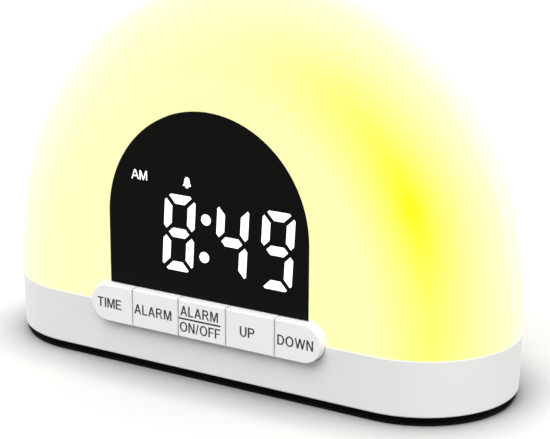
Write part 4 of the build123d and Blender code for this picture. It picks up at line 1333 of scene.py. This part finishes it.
@dataclass(frozen=True)
class Digits:
    """The lit bars of three seven-segment digits and their colon. Lengths are millimetres.

    lean is how far the digits lean to the right for each millimetre of height, and fall how far their
    line falls for each millimetre of width.
    """

    half_width: float = 5.72
    half_height: float = 12.07
    level: float = 3.3
    upright: float = 3.0
    mitre: float = 0.7425
    tip_cut: float = 2.09
    middle_half: float = 3.6
    waist: float = 1.0
    lean: float = math.tan(math.radians(4))
    fall: float = 0.0
    middle_z: float = 45.6
    centres: Point = (-9.17, 9.17, 24.57)
    colon: Flat = (0.0, 0.0)
    colon_radius: float = 1.9
    colon_rise: float = 5.8
    colon_sides: int = 40
    shown: tuple[str, str, str] = ("abcdefg", "bcfg", "abcdfg")

    def _bar(self, letter: str) -> Outline:
        """The corners of one bar.

        Args:
            letter: Its letter, a to g as usual.

        Returns:
            The corners, about its digit's middle.
        """
        wide, high, half = self.half_width, self.half_height, self.level / 2
        tip = (self.tip_cut - self.mitre) / 2
        if letter == "g":
            end = self.middle_half
            points = [(end - half, half), (end, 0), (end - half, -half)]
        elif letter in "ad":
            points = [(wide - self.tip_cut, high), (wide - self.tip_cut + tip, high - tip)]
            points.append((wide - self.level - self.mitre, high - self.level))
        else:
            inner, waist_x = wide - self.upright, self.middle_half + 2 * self.mitre
            points = [(inner, high - self.upright - self.mitre), (wide - tip, high - self.tip_cut + tip)]
            points += [(wide, high - self.tip_cut), (wide, 2 * self.waist)]
            points += [(waist_x - self.waist, self.waist), (inner, waist_x - inner)]
        if letter in "adg":
            points += [(-x, z) for x, z in reversed(points)]
        sign_x, sign_z = (-1 if letter in backwards else 1 for backwards in ("ef", "cde"))
        return [(sign_x * x, sign_z * z) for x, z in points]

    def outlines(self) -> list[Outline]:
        """The lit parts.

        Returns:
            The outlines of all lit bars and of the colon.
        """
        rows = []
        for centre, letters in zip(self.centres, self.shown):
            for bar in (moved(self._bar(letter), centre, 0.0) for letter in letters):
                rows.append([(x + z * self.lean, z - x * self.fall) for x, z in bar])
        for rise in (-self.colon_rise, self.colon_rise):
            middle = (self.colon[0] + rise * self.lean, self.colon[1] + rise)
            rows.append(circle(self.colon_radius, self.colon_sides, middle))
        return [moved(row, 0.0, self.middle_z) for row in rows]


@dataclass(frozen=True)
class Sign:
    """A sign beside the digits: its middle, its outline about that, and its hole if it has one."""

    middle: Flat
    outline: Places
    hole: Places = ()

    def outlines(self) -> list[Outline]:
        """Its outline and hole, in place."""
        return [moved(row, *self.middle) for row in (self.outline, self.hole) if row]


@dataclass
class Display(Assembly):
    """Panel, windows, module and board of the display."""

    inner: tuple[str, ...] = ("unlit_segments", "display_module", "display_board", "display_ribbon")
    digit_z: float = 45.6
    digit_centres: tuple[float, ...] = (-24.57, -9.17, 9.17, 24.57)
    bar_middles: Places = (
        (0.751, 10.745), (4.735, 5.721), (3.935, -5.721), (-0.751, -10.745), (-4.735, -5.721),
        (-3.935, 5.721), (0.0, 0.0),
    )
    colon: Flat = (0.4056, 5.8)
    wells: Digits = Digits()
    film: Digits = Digits(
        half_width=5.41, half_height=11.69, level=2.83, upright=2.7, mitre=0.95, tip_cut=2.03,
        middle_half=3.6, waist=1.03, lean=0.058, fall=0.0038, middle_z=45.42,
        centres=(-9.43, 8.94, 24.25), colon=(-0.24, -0.24), colon_radius=1.68, colon_rise=5.76,
    )
    signs: tuple[Sign, ...] = (
        Sign(
            (-24.92, 61.36),
            ((-1.37, -1.52), (-0.3, 1.44), (0.3, 1.47), (1.37, -1.4), (0.94, -1.42), (0.68, -0.64),
             (-0.68, -0.7), (-0.94, -1.5)),
            ((-0.52, -0.3), (0.52, -0.25), (0.0, 1.08)),
        ),
        Sign(
            (-21.96, 61.31),
            ((-1.37, -1.52), (-1.37, 1.4), (-0.8, 1.43), (0.0, -0.72), (0.8, 1.49), (1.37, 1.52),
             (1.37, -1.4), (0.97, -1.42), (0.97, 0.77), (0.17, -1.45), (-0.17, -1.47), (-0.97, 0.69),
             (-0.97, -1.5)),
        ),
        Sign(
            (-6.41, 61.3),
            ((0.34, 1.61), (0.8, 1.07), (1.0, 0.38), (1.05, -0.4), (1.42, -0.8), (1.31, -1.1),
             (0.68, -1.2), (0.25, -1.78), (-0.25, -1.79), (-0.68, -1.22), (-1.31, -1.15), (-1.42, -0.86),
             (-1.05, -0.44), (-1.0, 0.35), (-0.8, 1.04), (-0.34, 1.59)),
        ),
    )
    face_y: float = -30.0
    well_depth: float = 8.3
    film_half: float = 0.02
    film_sunk_share: float = 0.7
    board_front_y: float = -20.8
    board_back_y: float = -19.2
    led: tuple[Block, ...] = (
        Block((-0.8, -0.4, 0.0), (-0.55, 0.4, 0.25), 0.03, 2),
        Block((0.55, -0.4, 0.0), (0.8, 0.4, 0.25), 0.03, 2),
        Block((-0.6, -0.38, 0.02), (0.6, 0.38, 0.5), 0.04, 1),
        Block((-0.5, -0.32, 0.45), (0.5, 0.32, 0.7), 0.1),
    )
    part_places: Places = (
        (-22.0, 74.0), (-18.0, 66.0), (-10.0, 72.0), (-4.0, 64.0), (4.0, 71.0), (10.0, 60.0),
        (20.0, 68.0), (-26.0, 46.0), (-14.0, 42.0), (14.0, 44.0), (26.0, 48.0),
    )

    def _segments(self) -> None:
        """Makes the lit windows: a white film on the panel's face, in front of smoked wells."""
        shape = Shape()
        place = Way.FRONT.at(0.0, self.face_y, 0.0)
        signs = [sign.outlines() for sign in self.signs]
        half = self.film_half
        for digits, low, high, finish in (
            (self.wells, -self.well_depth, -half, 1),
            (self.film, -self.film_sunk_share * half, half, 0),
        ):
            for outlines in [[outline] for outline in digits.outlines()] + signs:
                shape.prism(outlines, low, high, place, finish)
        finishes = [Finish.segment_lit, Finish.panel_black]
        self.shop.make("lit_segments_film", shape, finishes, stands_for="lit_segments")

    def _leds(self) -> None:
        """Makes the small LEDs behind the windows: a white body with a phosphor window."""
        shape = Shape()
        places = [point for x in self.digit_centres for point in moved(self.bar_middles, x, 0.0)]
        places += [(side * self.colon[0], side * self.colon[1]) for side in SIDES]
        for x, z in places:
            shape.blocks(self.led, Way.FRONT.at(x, self.board_front_y, self.digit_z + z))
        finishes = [Finish.led_phosphor, Finish.board_white, Finish.contact_gold]
        self.shop.make("segment_leds_mounted", shape, finishes, stands_for="segment_leds")

    def build(self) -> None:
        """Makes and dresses everything of the display."""
        self.shop.dress("display_panel", *self.inner)
        self._segments()
        self._leds()
        places = [Way.BACK.at(x, self.board_back_y, z) for x, z in self.part_places]
        SmallParts(self.shop, "display_board_parts", places).build()


@dataclass
class Lamp(Assembly):
    """The lamp board with its LEDs and leads."""

    board_top_z: float = 19.0
    columns: int = 12
    pitch: float = 9.0
    row_y: float = 4.5
    half_size: Flat = (1.75, 1.4)
    rounding: Point = (0.35, 0.15, 0.15)
    corner_steps: int = 3
    height: float = 0.8
    foot: float = 0.08
    floor: float = 0.45
    window_radius: float = 1.12
    window: Places = ((0.0, 0.42), (1.12, 0.42), (1.12, 0.5), (0.8, 0.62), (0.45, 0.67), (0.0, 0.69))
    window_sides: int = 24
    contact: Point = (0.7, 1.0, 0.2)
    contact_bevel: float = 0.04
    overlap: float = 0.001

    def _outline(self) -> Outline:
        """The shape of an LED from above.

        Returns:
            The outline, with its corners rounded.
        """
        back_x, back_y, radius = self.rounding
        x, y = self.half_size[0] - back_x, self.half_size[1] - back_y
        corners = ((x, y), (-x, y), (-x, -y), (x, -y))
        return [
            point
            for turn, corner in enumerate(corners)
            for point in arc(corner, (radius, radius), 90 * turn, 90 * turn + 90, self.corner_steps)
        ]

    def _leds(self) -> None:
        """Makes the LEDs: a white body with a round phosphor well, and gold ends."""
        shape = Shape()
        body, half = self._outline(), self.half_size[0]
        length, side, thick = self.contact
        for x in evenly(self.columns, self.pitch):
            for y in (-self.row_y, self.row_y):
                place = Way.UP.at(x, y, self.board_top_z)
                shape.prism([body], self.foot, self.floor, place, 1)
                well = circle(self.window_radius, self.window_sides)
                shape.prism([body, well], self.floor - self.overlap, self.height, place, 1)
                shape.lathe(self.window, self.window_sides, place)
                for start, stop in both_sides(half - length, half):
                    shape.block((start, -side, 0.0), (stop, side, thick), self.contact_bevel, place, 2)
        finishes = [Finish.led_phosphor, Finish.board_white, Finish.contact_gold]
        self.shop.make("lamp_leds_mounted", shape, finishes, stands_for="lamp_leds")

    def build(self) -> None:
        """Makes and dresses everything of the lamp."""
        self.shop.dress("lamp_board", "lamp_leads")
        self._leds()
        between = evenly(self.columns - 1, self.pitch)[::2]
        places = [Way.UP.at(x, 0.0, self.board_top_z) for x in between]
        SmallParts(self.shop, "lamp_board_parts", places).build()


@dataclass
class MainBoard(Assembly):
    """The main board: chip, capacitors, connectors and small parts."""

    top_z: float = 7.8
    chip_centre: Flat = (-9.0, 5.0)
    chip_half: float = 4.25
    chip_low: float = 0.15
    chip_high: float = 1.4
    chip_bevel: float = 0.16
    chip_mark_out: float = 0.75
    chip_mark: Places = ((0.0, -0.1), (0.4, -0.1), (0.4, 0.0), (0.0, 0.0))
    chip_mark_sides: int = 16
    leads_a_side: int = 11
    lead_pitch: float = 0.7
    lead_half_width: float = 0.15
    lead: Places = (
        (4.15, 0.6), (4.55, 0.6), (4.67, 0.12), (5.0, 0.12), (5.0, 0.0), (4.57, 0.0), (4.45, 0.48),
        (4.15, 0.48),
    )
    can_places: Places = ((-22.0, 14.0), (-14.5, 16.0))
    can_profile: Places = (
        (0.0, 0.0), (2.9, 0.0), (2.95, 0.35), (3.15, 0.4), (3.15, 1.0), (3.0, 1.25), (3.0, 1.45), (3.15, 1.7),
        (3.15, 6.0), (3.05, 6.28), (2.8, 6.4), (2.55, 6.4), (2.45, 6.3), (0.0, 6.3),
    )
    can_sides: int = 40
    can_bung_bands: tuple[int, ...] = (0, 1)
    can_moon_radius: float = 2.3
    can_moon_arc: tuple[float, float, int] = (120, 240, 16)
    can_moon_z: Flat = (6.29, 6.33)
    can_vent: Block = Block((-1.05, -0.07, 6.27), (1.9, 0.07, 6.35), 0.02)
    ribbon_socket_places: Places = ((0.0, -13.5), (-17.0, -13.5))
    ribbon_socket: tuple[Block, ...] = (
        Block((-6.0, 0.0, 0.0), (6.0, 4.0, 1.2), 0.08),
        Block((-6.0, 2.6, 1.19), (6.0, 4.0, 3.0), 0.08),
        Block((-6.0, 0.0, 1.1), (-5.25, 2.7, 3.0), 0.08),
        Block((5.25, 0.0, 1.1), (6.0, 2.7, 3.0), 0.08),
        Block((-5.2, 0.15, 1.85), (5.2, 2.55, 2.85), 0.15, 1),
    )
    ribbon_contact: Block = Block((-0.15, 0.1, 1.2), (0.15, 2.7, 1.34), 0.02, 2)
    ribbon_contacts: int = 10
    ribbon_pitch: float = 1.0
    lamp_socket: tuple[Point, Point] = ((17.0, 11.0, 0.0), (23.0, 16.0, 3.0))
    speaker_socket: tuple[Point, Point] = ((25.5, -3.0, 0.0), (30.5, 3.0, 3.0))
    socket_wall: float = 0.6
    socket_slack: float = 0.1
    socket_lip: float = 0.3
    plug_bevel: float = 0.15
    overlap: float = 0.01
    foot: Block = Block((-0.3, -0.25, 0.0), (0.3, 0.25, 0.5), 0.04, 2)
    foot_out: float = 1.5
    foot_in: float = 0.25
    part_places: Places = (
        (-20.0, 2.0), (-20.0, 5.0), (-20.0, 8.0), (-9.0, -4.0), (-5.0, -4.0), (2.0, 2.0), (2.0, 5.0),
        (2.0, 8.0), (8.0, -6.0), (12.0, 0.0), (12.0, 4.0), (17.0, -4.0), (8.0, 19.0), (12.0, 21.0),
    )
    turned_parts: tuple[int, ...] = (3, 4, 8, 11)

    def _chip(self) -> None:
        """Makes the control chip, with a round mark on top and bent leads on its four sides."""
        shape = Shape()
        half, top = self.chip_half, self.chip_high
        centre = Way.UP.at(*self.chip_centre, self.top_z)
        low, high = (-half, -half, self.chip_low), (half, half, top - self.overlap)
        shape.block(low, high, self.chip_bevel, centre)
        out = self.chip_mark_out * half
        mark = centre @ Matrix.Translation((-out, out, top))
        shape.lathe(self.chip_mark, self.chip_mark_sides, mark, range(len(self.chip_mark)))
        for turn in range(4):
            for across in evenly(self.leads_a_side, self.lead_pitch):
                place = centre @ turned(turn) @ Way.FRONT.at(0.0, across, 0.0)
                shape.prism([self.lead], -self.lead_half_width, self.lead_half_width, place, 2)
        finishes = [Finish.component_black, Finish.board_white, Finish.steel]
        self.shop.make("control_chip_leaded", shape, finishes, stands_for="control_chip")

    def _cans(self) -> None:
        """Makes the capacitors: a crimped can on a rubber bung, a black half-moon and a vent cross on top."""
        shape = Shape()
        moon = arc((0.0, 0.0), (self.can_moon_radius,) * 2, *self.can_moon_arc)
        for x, y in self.can_places:
            place = Way.UP.at(x, y, self.top_z)
            shape.lathe(self.can_profile, self.can_sides, place, self.can_bung_bands)
            shape.prism([moon], *self.can_moon_z, place, 1)
            for turn in (0, 1):
                shape.blocks([self.can_vent], place @ turned(turn))
        finishes = [Finish.can_aluminium, Finish.component_black]
        self.shop.make("capacitors_crimped", shape, finishes, stands_for="capacitors")

    def _wire_socket(self, shape: Shape, box: tuple[Point, Point], upright: bool) -> None:
        """Adds a two-wire socket with its plug in it, and two tinned feet.

        Args:
            shape: What it is added to.
            box: Its lowest and highest corners, over the board.
            upright: Whether the wires come out of its top, rather than out of its right side.
        """
        (x0, y0, z0), (x1, y1, z1) = box
        place = Way.UP.at(0.0, 0.0, self.top_z)
        wall, lap = self.socket_wall, self.overlap
        inner = wall + self.socket_slack
        outer = rectangle((x0, y0), (x1, y1))
        low, high = (x0 + inner, y0 + inner, z0 + wall), (x1 - inner, y1 - inner, z1)
        feet = [(x, y1 - self.foot_in) for x in self._feet(x0, x1)]
        shape.prism([outer], z0, z0 + wall, place)
        if upright:
            well = rectangle((x0 + wall, y0 + wall), (x1 - wall, y1 - wall))
            shape.prism([outer, well], z0 + wall - lap, z1, place)
        else:
            shape.prism([rectangle((x0, y0), (x0 + wall, y1))], z0 + wall - lap, z1, place)
            for start in (y0, y1 - wall):
                side = rectangle((x0 + wall - lap, start), (x1, start + wall))
                shape.prism([side], z0 + wall - 2 * lap, z1, place)
            high = (x1, y1 - inner, z1 - self.socket_lip)
            feet = [(x0 + self.foot_in, y) for y in self._feet(y0, y1)]
        shape.block(low, high, self.plug_bevel, place)
        for x, y in feet:
            shape.blocks([self.foot], Way.UP.at(x, y, self.top_z))

    def _feet(self, start: float, stop: float) -> list[float]:
        """The places of a socket's two feet along its side."""
        return [(start + stop) / 2 + side * self.foot_out for side in SIDES]

    def _sockets(self) -> None:
        """Makes the four connectors as one piece. A flat cable's socket has its mouth at its own Y of 0."""
        shape = Shape()
        for x, y in self.ribbon_socket_places:
            shape.blocks(self.ribbon_socket, Way.UP.at(x, y, self.top_z))
            for across in evenly(self.ribbon_contacts, self.ribbon_pitch):
                shape.blocks([self.ribbon_contact], Way.UP.at(x + across, y, self.top_z))
        self._wire_socket(shape, self.lamp_socket, True)
        self._wire_socket(shape, self.speaker_socket, False)
        finishes = [Finish.connector_ivory, Finish.component_black, Finish.steel]
        self.shop.make("board_connectors_fitted", shape, finishes, stands_for="board_connectors")

    def build(self) -> None:
        """Makes and dresses everything on the main board."""
        self.shop.dress("main_board")
        self._chip()
        self._cans()
        self._sockets()
        places = [
            Way.UP.at(x, y, self.top_z) @ turned(number in self.turned_parts)
            for number, (x, y) in enumerate(self.part_places)
        ]
        SmallParts(self.shop, "main_board_parts", places).build()


@dataclass
class Inlet(Assembly):
    """The oval power inlet at the back."""

    centre_z: float = 9.4
    back_y: float = 21.6
    block_depth: float = 2.5
    half_size: Flat = (4.17, 1.3)
    tongue: Point = (3.35, 0.35, 6.9)
    contacts: int = 12
    contact_pitch: float = 0.5
    contact_half: float = 0.13
    contact_skin: Flat = (-0.02, 0.03)
    contact_short: Flat = (0.9, 0.5)
    tongue_bevel: float = 0.12
    contact_bevel: float = 0.01
    overlap: float = 0.1

    def build(self) -> None:
        """Makes the tongue with its contacts, and dresses the shell. Each third contact is shorter."""
        self.shop.dress("inlet_shell")
        shape = Shape()
        place = Way.BACK.at(0.0, self.back_y, self.centre_z)
        wide, high = self.half_size
        oval = arc((wide - high, 0), (high, high), -90, 90) + arc((high - wide, 0), (high, high), 90, 270)
        shape.prism([oval], 0.0, self.block_depth, place)
        half, thick, reach = self.tongue
        root = self.block_depth - self.overlap
        shape.block((-half, -thick, root), (half, thick, reach), self.tongue_bevel, place)
        near, far = (thick + skin for skin in self.contact_skin)
        for number, x in enumerate(evenly(self.contacts, self.contact_pitch)):
            end = reach - self.contact_short[number % 3 > 0]
            for low, up in both_sides(near, far):
                corners = (x - self.contact_half, low, self.block_depth), (x + self.contact_half, up, end)
                shape.block(*corners, self.contact_bevel, place, 1)
        finishes = [Finish.component_black, Finish.contact_gold]
        self.shop.make("inlet_tongue_contacts", shape, finishes, stands_for="inlet_tongue")


@dataclass
class Speaker(Assembly):
    """The speaker over the slots of the bottom cover. Radii and heights are from its rim's underside."""

    centre_x: float = 50.0
    rim_z: float = 3.2
    sides: int = 64
    cone: Places = (
        (0.0, 1.75), (1.2, 1.85), (2.4, 2.25), (3.15, 2.95), (3.3, 3.0), (6.0, 2.15), (8.6, 1.42),
        (10.6, 0.92), (11.0, 0.8), (11.3, 1.12), (11.8, 1.4), (12.3, 1.4), (12.8, 1.12), (13.0, 0.7),
        (13.4, 0.4), (13.4, 0.62), (13.1, 0.9), (12.9, 1.3), (12.35, 1.62), (11.75, 1.62), (11.15, 1.32),
        (10.9, 1.05), (8.6, 1.75), (6.0, 2.48), (3.2, 3.4), (3.2, 5.3), (2.8, 5.3), (2.8, 3.3), (2.2, 2.6),
        (1.2, 2.2), (0.0, 2.1),
    )
    magnet: Places = (
        (0.0, 5.4), (8.9, 5.4), (9.0, 5.5), (9.0, 6.1), (8.8, 6.15), (8.8, 6.25), (9.0, 6.35), (9.0, 8.0),
        (8.8, 8.15), (8.55, 8.2), (8.55, 8.65), (8.4, 8.8), (0.0, 8.8),
    )
    magnet_steel_bands: tuple[int, ...] = (0, 1, 2, 3, 9, 10, 11)

    def build(self) -> None:
        """Makes the cone with its rolled surround and the magnet between its plates, and dresses the rest."""
        self.shop.dress("speaker_basket", "speaker_leads")
        place = Way.UP.at(self.centre_x, 0.0, self.rim_z)
        cone = Shape()
        cone.lathe(self.cone, self.sides, place)
        self.shop.make("speaker_cone_rolled", cone, [Finish.cone_paper], stands_for="speaker_cone")
        magnet = Shape()
        magnet.lathe(self.magnet, self.sides, place, self.magnet_steel_bands)
        finishes = [Finish.magnet_ferrite, Finish.steel]
        self.shop.make("speaker_magnet_plated", magnet, finishes, stands_for="speaker_magnet")


@dataclass
class Backup(Assembly):
    """The backup cell with its contacts and cap."""

    centre_x: float = -52.0
    cell_z: float = 2.8
    cell: Places = (
        (0.0, 0.0), (9.4, 0.0), (9.8, 0.1), (10.0, 0.4), (10.0, 2.45), (9.9, 2.75), (9.6, 2.92), (9.3, 2.95),
        (9.2, 2.85), (8.9, 2.85), (8.8, 2.95), (8.7, 3.1), (8.4, 3.2), (0.0, 3.2),
    )
    sides: int = 64
    gasket_band: int = 8

    def build(self) -> None:
        """Makes the crimped cell, and dresses its contacts and cap."""
        self.shop.dress("cell_contacts", "battery_cap")
        shape = Shape()
        place = Way.UP.at(self.centre_x, 0.0, self.cell_z)
        shape.lathe(self.cell, self.sides, place, (self.gasket_band,))
        finishes = [Finish.steel, Finish.component_black]
        self.shop.make("backup_cell_crimped", shape, finishes, stands_for="backup_cell")


@dataclass(frozen=True)
class Softbox:
    """A wide, even light from one side of the sky. Angles are degrees, and azimuth runs from +X to +Y.

    level is how brightly it lights a surface that faces it, where 1 shows a colour as it is written.
    """

    name: str
    azimuth: float
    elevation: float
    level: float
    spread: float

    def hang(self) -> None:
        """Adds the lamp."""
        data = bpy.data.lights.new(self.name, "SUN")
        data.energy = self.level * math.pi
        data.angle = math.radians(self.spread)
        turn, rise = math.radians(self.azimuth), math.radians(self.elevation)
        towards = Vector((math.cos(turn) * math.cos(rise), math.sin(turn) * math.cos(rise), math.sin(rise)))
        lamp = added(self.name, data)
        lamp.location = towards
        aim(lamp, -towards)


@dataclass(frozen=True)
class Floor(Coat):
    """The white floor, which keeps the object's shadow, darkened further by a painted contact shadow near the
    object, and throws little light back up.
    """

    seen: Colour = (0.68, 0.68, 0.68)
    bounce: Colour = (0.05, 0.05, 0.05)
    reach: float = 0.02
    depth: float = 0.8
    roughness: float = 0.9
    samples: int = 8
    half: float = 6.0

    def shader(self, graph: Graph) -> Wire:
        """Draws the white, with a painted shadow that darkens it where the object stands on it.

        Args:
            graph: The material's graph.

        Returns:
            The shader.
        """
        settings, inputs = {"samples": self.samples}, {"Distance": self.reach}
        # Painted shadow: ambient occlusion darkens the floor's colour near the object.
        sky = graph.add("ShaderNodeAmbientOcclusion", settings, inputs, "AO")
        white = graph.mix(BLACK, self.seen, sky**self.depth)
        colour = graph.mix(self.bounce, white, graph.seen())
        return graph.surface(Base_Color=colour, Roughness=self.roughness, Specular_IOR_Level=0.0)

    def lay(self) -> None:
        """Makes the floor."""
        mesh = bpy.data.meshes.new("floor")
        square = rectangle((-self.half, -self.half), (self.half, self.half))
        mesh.from_pydata([(x, y, 0.0) for x, y in square], [], [(0, 1, 2, 3)])
        mesh.materials.append(self.material("floor_white"))
        floor = added("floor", mesh)
        floor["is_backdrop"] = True


@dataclass
class Studio:
    """Camera, floor and lights. Lengths are metres."""

    azimuth: float = math.radians(31.818)
    elevation: float = math.radians(15.816)
    distance: float = 510.714 * MM
    target: Point = (-3.291 * MM, 0.0, 46.109 * MM)
    lens: float = 108.86
    shift: Flat = (0.0446, -0.0165)
    clip: Flat = (0.01, 50.0)
    sky: Colour = (0.62, 0.62, 0.62)
    softboxes: tuple[Softbox, ...] = (
        Softbox("rear", 90.0, 45.0, 0.36, 80.0),
        Softbox("front", -90.0, 53.0, 0.72, 50.0),
        Softbox("right", 0.0, 10.0, 0.58, 60.0),
        Softbox("left", 180.0, 10.0, 0.48, 60.0),
    )

    def camera(self) -> None:
        """Makes the camera and sets it."""
        data = bpy.data.cameras.new("camera")
        data.lens = self.lens
        data.shift_x, data.shift_y = self.shift
        data.clip_start, data.clip_end = self.clip
        turn, level = self.azimuth, math.cos(self.elevation)
        forward = Vector((-math.sin(turn) * level, math.cos(turn) * level, -math.sin(self.elevation)))
        camera = added("camera", data)
        camera.location = Vector(self.target) - forward * self.distance
        aim(camera, forward)
        bpy.context.scene.camera = camera

    def world(self) -> None:
        """Makes the surroundings: an even sky for the object, and white for what is seen."""
        world = bpy.data.worlds.new("surroundings")
        world.use_nodes = True
        graph = Graph(world.node_tree)
        level = graph.mix(self.sky, (1.0, 1.0, 1.0), graph.seen())
        background = graph.add("ShaderNodeBackground", inputs={"Color": level, "Strength": 1.0})
        graph.finish(background, "ShaderNodeOutputWorld")
        bpy.context.scene.world = world

    def build(self) -> None:
        """Sets the whole studio up."""
        self.camera()
        Floor().lay()
        self.world()
        for softbox in self.softboxes:
            softbox.hang()
        bpy.context.scene.view_settings.view_transform = "Standard"


def corners() -> list[list[float]]:
    """The present box of everything, as plain lists."""
    low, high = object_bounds()
    return [list(low), list(high)]


def main() -> None:
    """Builds the whole scene."""
    logging.basicConfig(level=logging.INFO, format="%(message)s")
    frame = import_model()
    Studio().build()
    shop = Workshop(frame)
    for assembly in (Case, Keys, Display, Lamp, MainBoard, Inlet, Speaker, Backup, Screws):
        assembly(shop).build()


if __name__ == "__main__":
    main()
